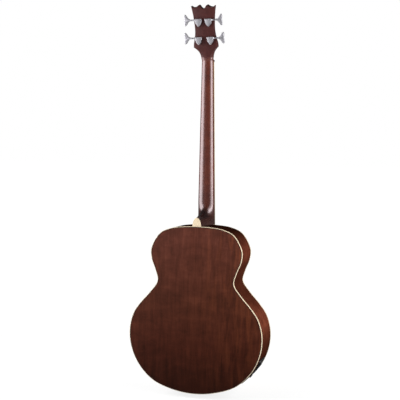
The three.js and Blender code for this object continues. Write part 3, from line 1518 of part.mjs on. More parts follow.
// Frame at the jack plate: z out of the side, x along the rim, y across its depth
function jackFrame(alongRim = 0) {
  const out = new THREE.Vector3(jack.normal.x, 0, jack.normal.y);
  const across = new THREE.Vector3(0, 1, 0);
  const along = new THREE.Vector3().crossVectors(across, out);
  const matrix = new THREE.Matrix4().makeBasis(along, across, out);
  const centre = new THREE.Vector3(jack.p.x, jackMiddleY, jack.p.y).addScaledVector(along, alongRim);
  return matrix.setPosition(centre);
}

function roundedPost(length, depth, corner) {
  const [x, y, r] = [length / 2, depth / 2, corner];
  const shape = new THREE.Shape();
  shape.moveTo(-x + r, -y).lineTo(x - r, -y).quadraticCurveTo(x, -y, x, -y + r);
  shape.lineTo(x, y - r).quadraticCurveTo(x, y, x - r, y).lineTo(-x + r, y);
  shape.quadraticCurveTo(-x, y, -x, y - r).lineTo(-x, -y + r).quadraticCurveTo(-x, -y, -x + r, -y);
  const outline = new THREE.Shape(shape.getPoints(CORNER_STEPS).slice(0, -1));
  const tall = JACK_PLATE_LENGTH;
  const geometry = new THREE.ExtrudeGeometry(outline, { depth: tall, bevelEnabled: false });
  return geometry.translate(0, 0, -tall / 2).applyMatrix4(jackFrame());
}

function jackWindow() {
  const inset = 2 * JACK_PLATE_MARGIN;
  return roundedPost(JACK_PLATE_LENGTH - inset, JACK_PLATE_DEPTH - inset, JACK_PLATE_CORNER / 2);
}

function socketSolid(profile, alongRim) {
  return turned(profile, ROUND_STEPS)
    .rotateX(Math.PI / 2)
    .applyMatrix4(jackFrame(alongRim));
}

function addJackPlate() {
  const skin = [
    [-GAP, FRONT_Y + BINDING_HEIGHT],
    [-GAP - JACK_PLATE_THICKNESS, FRONT_Y + BINDING_HEIGHT],
    [-GAP - JACK_PLATE_THICKNESS, (x, z) => backY(x, z) - BINDING_HEIGHT],
    [-GAP, (x, z) => backY(x, z) - BINDING_HEIGHT],
  ];
  const reach = JACK_PLATE_LENGTH;
  const near = RIM.slice(HALF_RIM_STEPS).filter((s) => Math.hypot(s.x - jack.p.x, s.z - jack.p.y) < reach);
  const sheet = rimStrip(near, skin, false);
  const blank = common(sheet, roundedPost(JACK_PLATE_LENGTH, JACK_PLATE_DEPTH, JACK_PLATE_CORNER));
  const bore = (diameter, alongRim) =>
    socketSolid(
      [
        [0, -JACK_PLATE_LENGTH / 2],
        [diameter / 2 + GAP, -JACK_PLATE_LENGTH / 2],
        [diameter / 2 + GAP, JACK_PLATE_LENGTH / 2],
        [0, JACK_PLATE_LENGTH / 2],
      ],
      alongRim,
    );
  const jackAlong = -SOCKET_SPACING / 2;
  const xlrAlong = SOCKET_SPACING / 2;
  const pierced = cut(blank, bore(JACK_BARREL_DIAMETER, jackAlong), bore(XLR_DIAMETER, xlrAlong));
  addPiece("jack_plate", pierced, blackPlastic());

  const sag = SOCKET_SPACING ** 2 / (4 * LOWER_BOUT_WIDTH);
  const face = GAP + JACK_PLATE_THICKNESS + GAP;
  const jackProfile = [
    [JACK_BORE_DIAMETER / 2, -JACK_BODY_LENGTH],
    [JACK_BODY_DIAMETER / 2, -JACK_BODY_LENGTH],
    [JACK_BODY_DIAMETER / 2, -sag - GAP - JACK_PLATE_THICKNESS],
    [JACK_BARREL_DIAMETER / 2, -sag - GAP - JACK_PLATE_THICKNESS],
    [JACK_BARREL_DIAMETER / 2, face],
    [JACK_NUT_DIAMETER / 2, face],
    [JACK_NUT_DIAMETER / 2, face + JACK_NUT_THICKNESS],
    [JACK_BORE_DIAMETER / 2, face + JACK_NUT_THICKNESS],
    [JACK_BORE_DIAMETER / 2, -JACK_BODY_LENGTH],
  ];
  addPiece("output_jack", socketSolid(jackProfile, jackAlong), chrome());
  const xlr = XLR_DIAMETER / 2;
  const xlrProfile = [
    [0, -XLR_LENGTH],
    [xlr, -XLR_LENGTH],
    [xlr, face],
    [XLR_FLANGE_DIAMETER / 2, face],
    [XLR_FLANGE_DIAMETER / 2, face + XLR_FLANGE_THICKNESS],
    [xlr - XLR_WALL, face + XLR_FLANGE_THICKNESS],
    [xlr - XLR_WALL, face + XLR_FLANGE_THICKNESS - XLR_RECESS],
    [0, face + XLR_FLANGE_THICKNESS - XLR_RECESS],
  ];
  addPiece("xlr_socket", socketSolid(xlrProfile, xlrAlong), blackPlastic());
}

addBody();
addNeck();
addHeadFittings();
addFingerboard();
addNut();
addBridge();
addStrings();
addTuners();
addEndPin();
addJackPlate();

export default guitar;
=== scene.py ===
import math
import bmesh
import bpy
import numpy as np
from mathutils import Matrix, Vector
from mathutils.geometry import tessellate_polygon


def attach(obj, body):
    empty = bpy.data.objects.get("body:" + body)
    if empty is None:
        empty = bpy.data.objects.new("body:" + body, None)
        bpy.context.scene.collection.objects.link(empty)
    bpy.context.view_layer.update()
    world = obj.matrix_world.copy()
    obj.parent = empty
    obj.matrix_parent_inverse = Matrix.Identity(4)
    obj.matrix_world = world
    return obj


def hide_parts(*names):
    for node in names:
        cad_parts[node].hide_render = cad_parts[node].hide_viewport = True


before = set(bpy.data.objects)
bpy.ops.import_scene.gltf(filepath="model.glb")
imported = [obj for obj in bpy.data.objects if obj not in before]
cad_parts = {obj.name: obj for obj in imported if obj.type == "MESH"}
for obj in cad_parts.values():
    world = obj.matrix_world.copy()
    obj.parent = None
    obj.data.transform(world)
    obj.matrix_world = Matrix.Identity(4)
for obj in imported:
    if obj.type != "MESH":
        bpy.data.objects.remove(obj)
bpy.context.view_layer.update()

MM = 0.001
GAP = 0.3
TINY = 1e-9

# Body
BODY_LENGTH = 529.5
LOWER_BOUT_WIDTH = 440
UPPER_BOUT_WIDTH = 302
WAIST_WIDTH = 252
SHOULDER_DEPTH = 100
TAIL_DEPTH = 116
PLATE_THICKNESS = 3
BACK_CROWN = 6
SIDE_THICKNESS = 2.4
BINDING_HEIGHT = 5.6
BINDING_ROUND = 0.6
BINDING_FACE = 1.2
PURFLING_WIDTH = 0.7
PURFLING_DEPTH = 1
PURFLING_PROUD = 0.04
SOUNDHOLE_RADIUS = 50
SOUNDHOLE_Z = 385.5
SOUNDHOLE_EDGE = 0.8
LINING_WIDTH = 6
LINING_HEIGHT = 15
LINING_TOE = 5
LINING_TOP_END = 49
LINING_TAIL_END = 45
KERF_PITCH_STEPS = 3
KERF_DEPTH_SHARE = 0.8
KERF_HALF_WIDTH = 0.6

# Neck and headstock
SCALE_LENGTH = 864
FRETS = 22
NUT_WIDTH = 39
NUT_THICKNESS = 5
JOINT_WIDTH = 56.4
NECK_DEPTH_AT_NUT = 15.5
NECK_DEPTH_AT_HEEL = 18.5
HEEL_CAP_WIDTH = 27.5
HEEL_CAP_LENGTH = 27.5
HEEL_CAP_THICKNESS = 2.5
HEEL_CAP_EDGE = 0.5
HEEL_SWEEP = 44
HEAD_TILT = math.radians(14.7)
HEAD_THICKNESS = 15
HEAD_LENGTH = 181
HEAD_TOP_WIDTH = 78
HEAD_MIDDLE_WIDTH = 62
HEAD_EAR_WIDTH = 78.6
HEAD_EDGE = 0.6
VENEER_THICKNESS = 1.2
VENEER_START = 10

# Places that follow from the sizes above; the body's tail stands above the end pin's face
TAIL_Z = 14
FRONT_Y = -TAIL_DEPTH / 2
SHOULDER_Z = TAIL_Z + BODY_LENGTH
MIDDLE_Z = SHOULDER_Z - BODY_LENGTH / 2
NUT_Z = 1066.621
SADDLE_Z = NUT_Z - SCALE_LENGTH
BOARD_BACK_Y = FRONT_Y - GAP


def placed(name, data):
    made = bpy.data.objects.new(name, data)
    bpy.context.scene.collection.objects.link(made)
    return made


# Meshes: a shell is a list of points and a list of faces, and make() turns it into a piece
def make(name, shell, shade, node=None, body="body", crease=math.radians(32)):
    """Piece that rides on a body, and stands for a node if one is named."""
    points, faces = shell
    mesh = bpy.data.meshes.new(name)
    mesh.from_pydata([tuple(float(c) * MM for c in p) for p in points], [], faces)
    cleaned = bmesh.new()
    cleaned.from_mesh(mesh)
    bmesh.ops.remove_doubles(cleaned, verts=cleaned.verts, dist=MM * MM)
    bmesh.ops.recalc_face_normals(cleaned, faces=cleaned.faces)
    for face in cleaned.faces:
        face.smooth = True
    for edge in cleaned.edges:
        edge.smooth = len(edge.link_faces) == 2 and edge.calc_face_angle(0) < crease
    cleaned.to_mesh(mesh)
    cleaned.free()
    mesh.materials.append(SHADES[shade])
    piece = placed(name, mesh)
    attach(piece, body)
    if node:
        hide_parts(node)


def merged(*shells):
    points, faces = [], []
    for shell_points, shell_faces in shells:
        start = len(points)
        points.extend(tuple(p) for p in shell_points)
        faces.extend(tuple(i + start for i in face) for face in shell_faces)
    return points, faces


def moved(shell, matrix):
    points, faces = shell
    places = np.c_[np.array(points, float), np.ones(len(points))] @ np.array(matrix).T
    return places[:, :3], faces


def polar(radius, angles):
    return np.c_[radius * np.cos(angles), radius * np.sin(angles)]


def full_turn(steps):
    return np.arange(steps) / steps * 2 * math.pi


def circle(x, z, radius, steps=40):
    return polar(radius, full_turn(steps)) + (x, z)


def at_y(flat, y):
    """[x, z] points at one y, or at a y of their own."""
    return np.c_[flat[:, 0], np.zeros(len(flat)) + y, flat[:, 1]]


def mirrored(right, shared=1):
    """Outline from its right half, which ends in as many points as both halves share."""
    return np.vstack([right, right[::-1][shared:] * (-1, 1)])


def raised(profile, rise):
    return [(radius, height + rise) for radius, height in profile]


def spline(points, steps, closed=False):
    """Centripetal curve through the points."""
    points = np.array(points, float)
    count = len(points)
    if not closed:
        points = np.vstack([2 * points[0] - points[1], points, 2 * points[-1] - points[-2]])
    result = []
    for i in range(count if closed else count - 1):
        if closed:
            a, b, c, d = (points[(i + k) % count] for k in (-1, 0, 1, 2))
        else:
            a, b, c, d = points[i : i + 4]
        ta, tb, tc = (max(np.linalg.norm(q - p), 1e-4) ** 0.5 for p, q in ((a, b), (b, c), (c, d)))
        leave = ((b - a) / ta - (c - a) / (ta + tb) + (c - b) / tb) * tb
        arrive = ((c - b) / tb - (d - b) / (tb + tc) + (d - c) / tc) * tb
        for t in np.arange(steps) / steps:
            cubic = 2 * b - 2 * c + leave + arrive
            square = -3 * b + 3 * c - 2 * leave - arrive
            result.append(b + t * (leave + t * (square + t * cubic)))
    if not closed:
        result.append(points[-2])
    return np.array(result)


def loft(rings, closed=False, caps=True):
    rings = np.array(rings, float)
    count, size, _ = rings.shape
    faces = []
    for r in range(count if closed else count - 1):
        here, there = r * size, (r + 1) % count * size
        for k in range(size):
            after = (k + 1) % size
            faces.append((here + k, here + after, there + after, there + k))
    if caps and not closed:
        faces.append(tuple(range(size))[::-1])
        faces.append(tuple(range((count - 1) * size, count * size)))
    return rings.reshape(-1, 3), faces


def turned(profile, steps=40, matrix=None, ring=False):
    """Turned round local Z from [radius, height] pairs, as a solid or as a ring with an open middle."""
    around = polar(1, full_turn(steps))
    if ring:
        shell = loft([[(r * c, r * s, h) for r, h in profile] for c, s in around], closed=True)
    else:
        shell = loft([[(r * c, r * s, h) for c, s in around] for r, h in profile])
    return shell if matrix is None else moved(shell, matrix)


def axis_frame(origin, axis, side=(1, 0, 0)):
    z = Vector(axis).normalized()
    x = (Vector(side) - z * z.dot(Vector(side))).normalized()
    matrix = Matrix((x, z.cross(x), z)).transposed().to_4x4()
    matrix.translation = Vector(origin)
    return matrix


def unit_rows(rows):
    return rows / np.maximum(np.linalg.norm(rows, axis=1, keepdims=True), TINY)


def outline_normals(outline):
    following = np.roll(outline, -1, axis=0)
    ahead = unit_rows(following - outline)
    both = unit_rows(ahead + np.roll(ahead, 1, axis=0))
    normals = np.c_[both[:, 1], -both[:, 0]]
    area = np.sum(outline[:, 0] * following[:, 1] - outline[:, 1] * following[:, 0])
    return normals if area > 0 else -normals


def prism(outline, profile, holes=()):
    """Outline across x and z, with [inset, y] steps from one face to the other, and straight holes."""
    outline = np.array(outline, float)
    normals = outline_normals(outline)
    layers = [at_y(outline - normals * inset, y) for inset, y in profile]
    ends = (profile[0][1], profile[-1][1])
    shells = [loft(layers, caps=False)]
    shells += [loft([at_y(hole, y) for y in ends], caps=False) for hole in holes]
    for layer, y in ((layers[0], ends[0]), (layers[-1], ends[1])):
        loops = [[Vector((x, z, 0)) for x, z in loop] for loop in (layer[:, ::2], *holes)]
        flat = [(p.x, y, p.y) for loop in loops for p in loop]
        shells.append((flat, [tuple(t) for t in tessellate_polygon(loops)]))
    return merged(*shells)


def rounded(half_width, low, high, radius, steps):
    """Rectangle with round corners, from its upper right corner on."""
    right, above, below = half_width - radius, high - radius, low + radius
    corners = ((right, above), (-right, above), (-right, below), (right, below))
    arc = np.linspace(0, math.pi / 2, steps + 1)
    return np.vstack([polar(radius, arc + k * math.pi / 2) + corner for k, corner in enumerate(corners)])


def quarter_round(radius, steps=4):
    """[inset, drop] steps round an edge, from its side to its face."""
    arc = np.linspace(0, math.pi / 2, steps + 1)
    return [(radius * (1 - math.cos(a)), radius * (1 - math.sin(a))) for a in arc]


def edge_profile(front, back, radius, steps=4, both=True):
    """[inset, y] steps of a slab whose back edge, and front edge if both, is rounded."""
    edge = quarter_round(radius, steps)
    start = [(inset, front + drop) for inset, drop in edge[::-1]] if both else [(0, front)]
    return start + [(inset, back - drop) for inset, drop in edge]


def tube(path, radius, sides=12):
    path = np.array(path, float)
    normal = np.array((1.0, 0, 0))
    rings = []
    for i, p in enumerate(path):
        tangent = path[min(i + 1, len(path) - 1)] - path[max(i - 1, 0)]
        tangent /= np.linalg.norm(tangent)
        normal = normal - tangent * normal.dot(tangent)
        normal /= np.linalg.norm(normal)
        side = np.cross(tangent, normal)
        rings.append([p + radius * (c * normal + s * side) for c, s in polar(1, full_turn(sides))])
    return loft(rings)


def shell_of(outer, inner, mask):
    """Closed shell between two grids of points, only where the mask holds."""
    rows, columns, _ = outer.shape
    index = np.arange(rows * columns).reshape(rows, columns)
    far = rows * columns
    faces = []
    cells = {tuple(cell) for cell in np.argwhere(mask)}
    for r, c in cells:
        a, b, d, e = index[r, c], index[r, c + 1], index[r + 1, c + 1], index[r + 1, c]
        faces += [(a, b, d, e), (e + far, d + far, b + far, a + far)]
        neighbours = (((r - 1, c), a, b), ((r, c + 1), b, d), ((r + 1, c), d, e), ((r, c - 1), e, a))
        faces += [(p, p + far, q + far, q) for cell, p, q in neighbours if cell not in cells]
    return np.vstack([outer.reshape(-1, 3), inner.reshape(-1, 3)]), faces


# Procedural materials
def linear(color):
    channels = [((color >> shift) & 255) / 255 for shift in (16, 8, 0)]
    return tuple(c / 12.92 if c <= 0.04045 else ((c + 0.055) / 1.055) ** 2.4 for c in channels) + (1,)


class Shader:
    """Nodes of a material or of the world, built from left to right."""

    def __init__(self, owner, surface="ShaderNodeBsdfPrincipled", output="ShaderNodeOutputMaterial"):
        owner.use_nodes = True
        self.owner = owner
        self.tree = owner.node_tree
        self.tree.nodes.clear()
        self.surface = self.add(surface)
        self.output = self.add(output, {"Surface": self.surface.outputs[0]})

    def add(self, kind, inputs=None, **settings):
        made = self.tree.nodes.new(kind)
        for key, value in settings.items():
            setattr(made, key, value)
        for key, value in (inputs or {}).items():
            self.feed(made.inputs[key], value)
        return made

    def feed(self, socket, value):
        if isinstance(value, bpy.types.NodeSocket):
            self.tree.links.new(value, socket)
        else:
            socket.default_value = value

    def place(self, scale=(1, 1, 1), mirror=False):
        """Row-frame coordinates in metres, bookmatched about x = 0 if mirror."""
        where = self.add("ShaderNodeTexCoord").outputs["Object"]
        if mirror:
            x, y, z = self.add("ShaderNodeSeparateXYZ", {0: where}).outputs
            inputs = {0: self.math("ABSOLUTE", x), 1: y, 2: z}
            where = self.add("ShaderNodeCombineXYZ", inputs).outputs[0]
        return self.scaled(where, scale)

    def scaled(self, where, scale):
        return self.add("ShaderNodeMapping", {"Vector": where, "Scale": scale}).outputs[0]

    def axis(self, where, number):
        return self.add("ShaderNodeSeparateXYZ", {0: where}).outputs[number]

    def math(self, operation, *values, clamp=False):
        inputs = dict(enumerate(values))
        return self.add("ShaderNodeMath", inputs, operation=operation, use_clamp=clamp).outputs[0]

    def noise(self, where, scale=1, detail=4, roughness=0.5, distortion=0):
        inputs = {"Vector": where, "Scale": scale, "Detail": detail}
        inputs |= {"Roughness": roughness, "Distortion": distortion}
        return self.add("ShaderNodeTexNoise", inputs).outputs[0]

    def waves(self, where, scale, direction, **inputs):
        inputs |= {"Vector": where, "Scale": scale}
        return self.add("ShaderNodeTexWave", inputs, bands_direction=direction).outputs[1]

    def span(self, value, low, high, start=0.0, end=1.0):
        """Way from low to high that follows the value's way from start to end."""
        inputs = {"Value": value, "From Min": start, "From Max": end, "To Min": low, "To Max": high}
        return self.add("ShaderNodeMapRange", inputs).outputs[0]

    def ramp(self, value, stops):
        made = self.add("ShaderNodeValToRGB", {0: value})
        elements = made.color_ramp.elements
        while len(elements) < len(stops):
            elements.new(0.5)
        for element, (at, color) in zip(elements, stops):
            element.position = at
            element.color = linear(color) if isinstance(color, int) else (color, color, color, 1)
        return made.outputs[0]

    def by_height(self, place, stops):
        """Share or color that changes with the height in metres."""
        reach = stops[-1][0]
        share = self.math("DIVIDE", self.axis(place, 2), reach)
        return self.ramp(share, [(z / reach, value) for z, value in stops])

    def mix(self, share, first, second, blend="MIX"):
        made = self.add("ShaderNodeMix", {"Factor": share}, data_type="RGBA", blend_type=blend)
        colors = [socket for socket in made.inputs if socket.type == "RGBA"]
        for socket, value in zip(colors, (first, second)):
            self.feed(socket, linear(value) if isinstance(value, int) else value)
        return next(socket for socket in made.outputs if socket.type == "RGBA")

    def times(self, color, other, share=1.0):
        return self.mix(share, color, other, "MULTIPLY")

    def finish(self, color, roughness, bump=None, strength=0, distance=0.0001, **sockets):
        sockets |= {"Base_Color": color, "Roughness": roughness}
        if bump:
            inputs = {"Height": bump, "Strength": strength, "Distance": distance}
            sockets["Normal"] = self.add("ShaderNodeBump", inputs).outputs[0]
        for key, value in sockets.items():
            self.feed(self.surface.inputs[key.replace("_", " ")], value)
        return self.owner


def shader(name):
    return Shader(bpy.data.materials.new(name))


# Staining and painted light by height: height in metres and the share of the wood's or binding's color that
# it leaves, or the tint it gives. The back's staining holds painted shade and painted sheen, the sides' is
# painted highlight and shade, the neck's and the fingerboard binding's are painted shade.
# Darker towards the tail: a staining burst together with painted shade where the light falls off towards the
# bottom
BACK_STAIN_AND_SHADE = ((0, 0.2), (0.045, 0.27), (0.1, 0.38), (0.2, 0.54), (0.31, 0.66), (0.4, 0.82), (0.55, 1.0))
# Warmer tint low on the back, leaving the upper back cooler: painted sheen
BACK_PAINTED_SHEEN = ((0, 0xFFE5C8), (0.15, 0xFFE6CE), (0.3, 0xFFF7E3), (0.45, 0xFFFDF6), (0.53, 0xFFFFFF))
# Lighter round the widest bouts, darker at the shoulders, waist and tail: painted highlight and painted
# shade
SIDE_PAINTED_LIGHT = ((0, 0.14), (0.13, 0.17), (0.17, 0.22), (0.21, 0.31), (0.24, 0.56), (0.27, 0.56), (0.31, 0.26))
SIDE_PAINTED_LIGHT += ((0.38, 0.22), (0.43, 0.31), (0.465, 0.48), (0.505, 0.24), (0.53, 0.08), (0.55, 0.07))
# Darker at the heel and on the headstock: painted shade where less light falls
NECK_PAINTED_SHADE = ((0, 0.25), (0.565, 0.3), (0.61, 0.6), (0.7, 0.9), (1.06, 1.0), (1.1, 0.9), (1.25, 0.7))
# Darker towards the body: painted shade on the fingerboard's binding
BOARD_BINDING_SHADE = ((0, 0.2), (0.56, 0.2), (0.62, 0.3), (0.7, 0.45), (0.85, 0.62), (1.05, 0.75), (1.1, 0.75))
LACQUER_TINT = (1.0, 0.86, 0.89, 1.0)
# Lighter orange of the flamed figure: the figure is the wood's, its showing on the bass half only is painted
# light
LIT_FLAME_COLOR = 0x9A5233
SEAM = 0x35190F
SEAM_HALF_WIDTH = 0.0003
# Color of faces that turn upwards: dark end grain together with painted shade where no light falls from
# above
END_GRAIN_AND_SHADE = 0x140908


def wood(name, colors, gloss=(0.3, 0.4), mirror=False, fine=1, pores=0.5, finish=None, **sockets):
    """Wood with grain along z: short ribbons, mottle, fibres and pores."""
    made = shader(name)
    place = made.place(mirror=mirror)
    ribbon = made.noise(made.scaled(place, (75 * fine, 75 * fine, 7)), 1, 3, 0.6, 0.2)
    mottle = made.noise(made.scaled(place, (16, 16, 30)), 1, 4, 0.65, 0.3)
    fibre = made.noise(made.scaled(place, (900 * fine, 900 * fine, 16)), 1, 2, 0.6)
    figure = made.math("ADD", made.math("MULTIPLY", ribbon, 0.5), made.math("MULTIPLY", mottle, 0.5))
    color = made.ramp(figure, tuple(zip((0.34, 0.5, 0.66), colors)))
    color = made.times(color, made.ramp(fibre, ((0.38, 0.8), (0.56, 1.0))), pores)
    if finish:
        color = finish(made, place, color)
    return made.finish(color, made.span(fibre, *gloss), fibre, 0.06, **sockets)


def back_stain_and_painted_light(made, place, color):
    """Staining that deepens towards the tail with painted shade where the light falls off, a cooler upper
    back as painted sheen, a flamed figure lit on the bass half as painted light, and the seam.
    """
    # Darker towards the tail: staining with painted shade, then a warmer tail and a cooler upper back as
    # painted sheen
    burst_and_shade = made.by_height(place, BACK_STAIN_AND_SHADE)
    color = made.times(made.times(color, burst_and_shade), made.by_height(place, BACK_PAINTED_SHEEN))
    lit_flame = made.noise(made.place(scale=(70, 70, 9)), 1, 3, 0.6, 0.4)
    # Bass half, where the flamed figure is lit: painted light from that side
    lit_bass_half = made.span(made.axis(made.place(), 0), 0, 1, 0.05, -0.12)
    lit_flame = made.math("MULTIPLY", made.ramp(lit_flame, ((0.46, 0.0), (0.7, 0.28))), lit_bass_half)
    color = made.mix(lit_flame, color, made.times(LIT_FLAME_COLOR, burst_and_shade))
    return made.mix(made.math("LESS_THAN", made.axis(place, 0), SEAM_HALF_WIDTH), color, SEAM)


def side_painted_light(made, place, color):
    """Painted highlight round the widest parts of the body, painted shade at the shoulders, the waist and
    the tail.
    """
    return made.times(color, made.by_height(place, SIDE_PAINTED_LIGHT))


def neck_end_grain_and_shade(made, place, color):
    """Faces that turn upwards are darker: end grain that drinks the staining, together with painted shade
    where no light falls from above. Painted shade by height darkens the heel and the headstock.
    """
    normal = made.add("ShaderNodeNewGeometry").outputs["Normal"]
    # Faces that turn upwards: dark end grain together with painted shade
    end = made.span(made.axis(normal, 2), 0, 1, 0.25, 0.75)
    return made.mix(end, made.times(color, made.by_height(place, NECK_PAINTED_SHADE)), END_GRAIN_AND_SHADE)


def plastic(name, base, shade, gloss=(0.25, 0.4), height_shade=None, **sockets):
    made = shader(name)
    cloud = made.noise(made.place(), 60, 4, 0.6)
    grain = made.noise(made.place(), 1800, 2)
    color = made.mix(cloud, base, shade)
    # Optional painted shade that follows the height
    if height_shade:
        color = made.times(color, made.by_height(made.place(), height_shade))
    return made.finish(color, made.span(cloud, *gloss), grain, 0.05, **sockets)


def metal(name, base, shade, gloss=(0.16, 0.3)):
    made = shader(name)
    cloud = made.noise(made.place(), 160, 4, 0.6)
    polish = made.noise(made.place(scale=(1, 1, 12)), 900, 2)
    color = made.mix(cloud, base, shade)
    return made.finish(color, made.span(cloud, *gloss), polish, 0.04, Metallic=1.0)


def wound_string():
    made = shader("wound_string")
    wave = made.waves(made.place(scale=(0, 0, 1)), 700, "Z")
    color = made.mix(made.ramp(wave, ((0.1, 0.0), (0.6, 1.0))), 0x6A4A2C, 0xC79A66)
    return made.finish(color, made.span(wave, 0.42, 0.3), wave, 0.6, 0.0002, Metallic=1.0)


def spruce_top():
    made = shader("spruce_top")
    across = made.scaled(made.place(mirror=True), (1, 0, 0.02))
    bend = made.noise(across, 14, 3)
    lines = made.waves(across, 240, "X", Distortion=3.0, Detail=3.0)
    silk = made.noise(made.place(scale=(30, 1, 4)), 10)
    color = made.ramp(lines, ((0.0, 0xA8703A), (0.35, 0xC98F52), (1.0, 0xD6A266)))
    color = made.mix(made.span(silk, 0, 0.35), color, 0xE0B57E)
    color = made.mix(made.span(bend, 0, 0.25), color, 0xB67C42)
    coat = {"Coat_Weight": 0.4, "Coat_Roughness": 0.08}
    return made.finish(color, made.span(silk, 0.22, 0.3), lines, 0.04, **coat)


def pearl():
    made = shader("pearl")
    cloud = made.noise(made.place(), 500, 4, 0.7, 1.2)
    color = made.ramp(cloud, ((0.3, 0xC9CFCB), (0.5, 0xEDEAE0), (0.7, 0xD8DDE3)))
    return made.finish(color, 0.22, cloud, 0.05, 0.0002)


def mosaic():
    made = shader("rosette_mosaic")
    place = made.place(scale=(1, 0, 1))
    cells = made.add("ShaderNodeTexVoronoi", {"Vector": place, "Scale": 900.0}).outputs["Color"]
    share = made.add("ShaderNodeSeparateColor", {0: cells}).outputs[0]
    return made.finish(made.mix(share, 0x6B3B22, 0xE3CFA3), 0.3)


SHADES = {
    "back": wood("mahogany_back", (0x43231A, 0x552D23, 0x66382C), (0.42, 0.52), mirror=True,
                 finish=back_stain_and_painted_light, Specular_IOR_Level=0.06),
    "side": wood("mahogany_side", (0x683423, 0x7F4230, 0x96513A), (0.5, 0.6),
                 finish=side_painted_light, Specular_IOR_Level=0.0),
    "neck": wood("mahogany_neck", (0x451D13, 0x562519, 0x66301F), (0.24, 0.3),
                 finish=neck_end_grain_and_shade, Specular_IOR_Level=0.85, Specular_Tint=LACQUER_TINT, IOR=1.6),
    # Darker than the neck's wood: painted shade of the dimmer light on the headstock
    "head": wood("mahogany_head_shaded", (0x3E1C1A, 0x4A2320, 0x562B28), (0.34, 0.42), pores=0.25,
                 finish=neck_end_grain_and_shade, Specular_IOR_Level=0.35, Specular_Tint=LACQUER_TINT),
    "spruce": spruce_top(),
    "brace": wood("brace_wood", (0xB9935F, 0xCDAA78, 0xDCBD8D), (0.6, 0.75), pores=0.25, fine=2),
    "rosewood": wood("rosewood", (0x1E120E, 0x2E1B14, 0x45291D), (0.45, 0.6), pores=0.8, fine=2),
    "veneer": wood("headstock_wood", (0x160E0C, 0x221512, 0x2F1D18), (0.2, 0.28), fine=2),
    "purfling": plastic("dark_purfling", 0x2A1614, 0x1D0F0E),
    "cream": plastic("cream_binding", 0xE2D1B6, 0xD8C3A2, (0.28, 0.4)),
    "board_cream": plastic("shaded_binding", 0xE8D3AE, 0xDAC194, (0.4, 0.5), height_shade=BOARD_BINDING_SHADE),
    "bone": plastic("bone", 0xEBE3CC, 0xD8CDAE, (0.3, 0.45)),
    "black": plastic("black_plastic", 0x0B0809, 0x110E0F, (0.36, 0.46), Specular_IOR_Level=0.03),
    "nut": plastic("black_nut", 0x1B1313, 0x2B1E1C, (0.3, 0.4)),
    "chrome": metal("satin_chrome", 0xCECCD2, 0xBCBAC1, (0.34, 0.44)),
    "dark_nickel": metal("dark_nickel", 0x2E2C2F, 0x211F22),
    "steel": metal("steel", 0xA9A7A4, 0x8C8A88, (0.25, 0.4)),
    "fret": metal("fret_wire", 0xC9C6C0, 0xB3B0AA),
    "string": wound_string(),
    "pearl": pearl(),
    "rosette": mosaic(),
}

# Slots of the shades that aren't named like their slot
SLOTS = dict.fromkeys(("back", "side", "neck", "head"), "mahogany")
SLOTS |= dict.fromkeys(("cream", "pearl", "rosette"), "cream_plastic")
SLOTS |= dict.fromkeys(("purfling", "veneer"), "dark_veneer")
SLOTS |= {"brace": "brace_wood", "black": "black_plastic", "dark_nickel": "chrome"}
SLOTS |= {"fret": "steel", "string": "bronze"}

# Outline of the body: the width that points follow, then shares of it and of the length
OUTLINE_SHARES = (
    (UPPER_BOUT_WIDTH, (0, 0), (0.309, 0.0034), (0.574, 0.0147), (0.808, 0.0461)),
    (UPPER_BOUT_WIDTH, (0.994, 0.1379), (0.98, 0.2021)),
    (WAIST_WIDTH, (1.063, 0.2697), (1.002, 0.3326), (1.203, 0.4037)),
    (LOWER_BOUT_WIDTH, (0.825, 0.4667), (0.935, 0.5315), (0.997, 0.6256), (0.978, 0.7312)),
    (LOWER_BOUT_WIDTH, (0.862, 0.8406), (0.635, 0.9348), (0.323, 0.9839), (0, 1)),
)
RIM_STEPS = 10


def rim():
    treble = []
    for width, *shares in OUTLINE_SHARES:
        treble += [(width / 2 * across, SHOULDER_Z - BODY_LENGTH * down) for across, down in shares]
    bass = [(-x, z) for x, z in treble[-2:0:-1]]
    points = spline(treble + bass, RIM_STEPS, closed=True)
    ahead = unit_rows(np.roll(points, -1, axis=0) - np.roll(points, 1, axis=0))
    return points, np.c_[-ahead[:, 1], ahead[:, 0]]


RIM, RIM_NORMALS = rim()
HALF_RIM = len(RIM) // 2


def rim_inset(inward, stations=slice(None)):
    return RIM[stations] - RIM_NORMALS[stations] * inward


def back_y(x, z):
    down = (SHOULDER_Z - z) / BODY_LENGTH
    depth = SHOULDER_DEPTH + (TAIL_DEPTH - SHOULDER_DEPTH) * down
    reach = np.hypot(x, z - MIDDLE_Z) / (BODY_LENGTH / 2)
    return FRONT_Y + depth + BACK_CROWN * (1 - reach**2)


def strip(section, from_back):
    """Strip round the rim from a section of [inward, distance from the soundboard's or the back's face]."""
    rings = []
    for inward, distance in section:
        flat = rim_inset(inward)
        rings.append(at_y(flat, back_y(*flat.T) - distance if from_back else FRONT_Y + distance))
    return loft(np.array(rings).transpose(1, 0, 2), closed=True)


def make_bindings():
    section = [(0, BINDING_HEIGHT), *quarter_round(BINDING_ROUND)]
    section += [(SIDE_THICKNESS, 0), (SIDE_THICKNESS, BINDING_HEIGHT)]
    inner, outer = BINDING_FACE, SIDE_THICKNESS + PURFLING_WIDTH
    low = BINDING_HEIGHT - PURFLING_WIDTH / 4
    high = low + PURFLING_WIDTH
    top, depth = -PURFLING_PROUD, PURFLING_DEPTH
    face = [(inner, top), (outer, top), (outer, depth), (inner, depth)]
    edge = [(top, low), (depth, low), (depth, high), (top, high)]
    for name, from_back in (("top_binding", False), ("back_binding", True)):
        make(name + "_strip", strip(section, from_back), "cream", name)
        make(name + "_purfling", merged(strip(face, from_back), strip(edge, from_back)), "purfling")


BACK_RINGS = 26
BACK_CENTRE_SHARE = 0.02


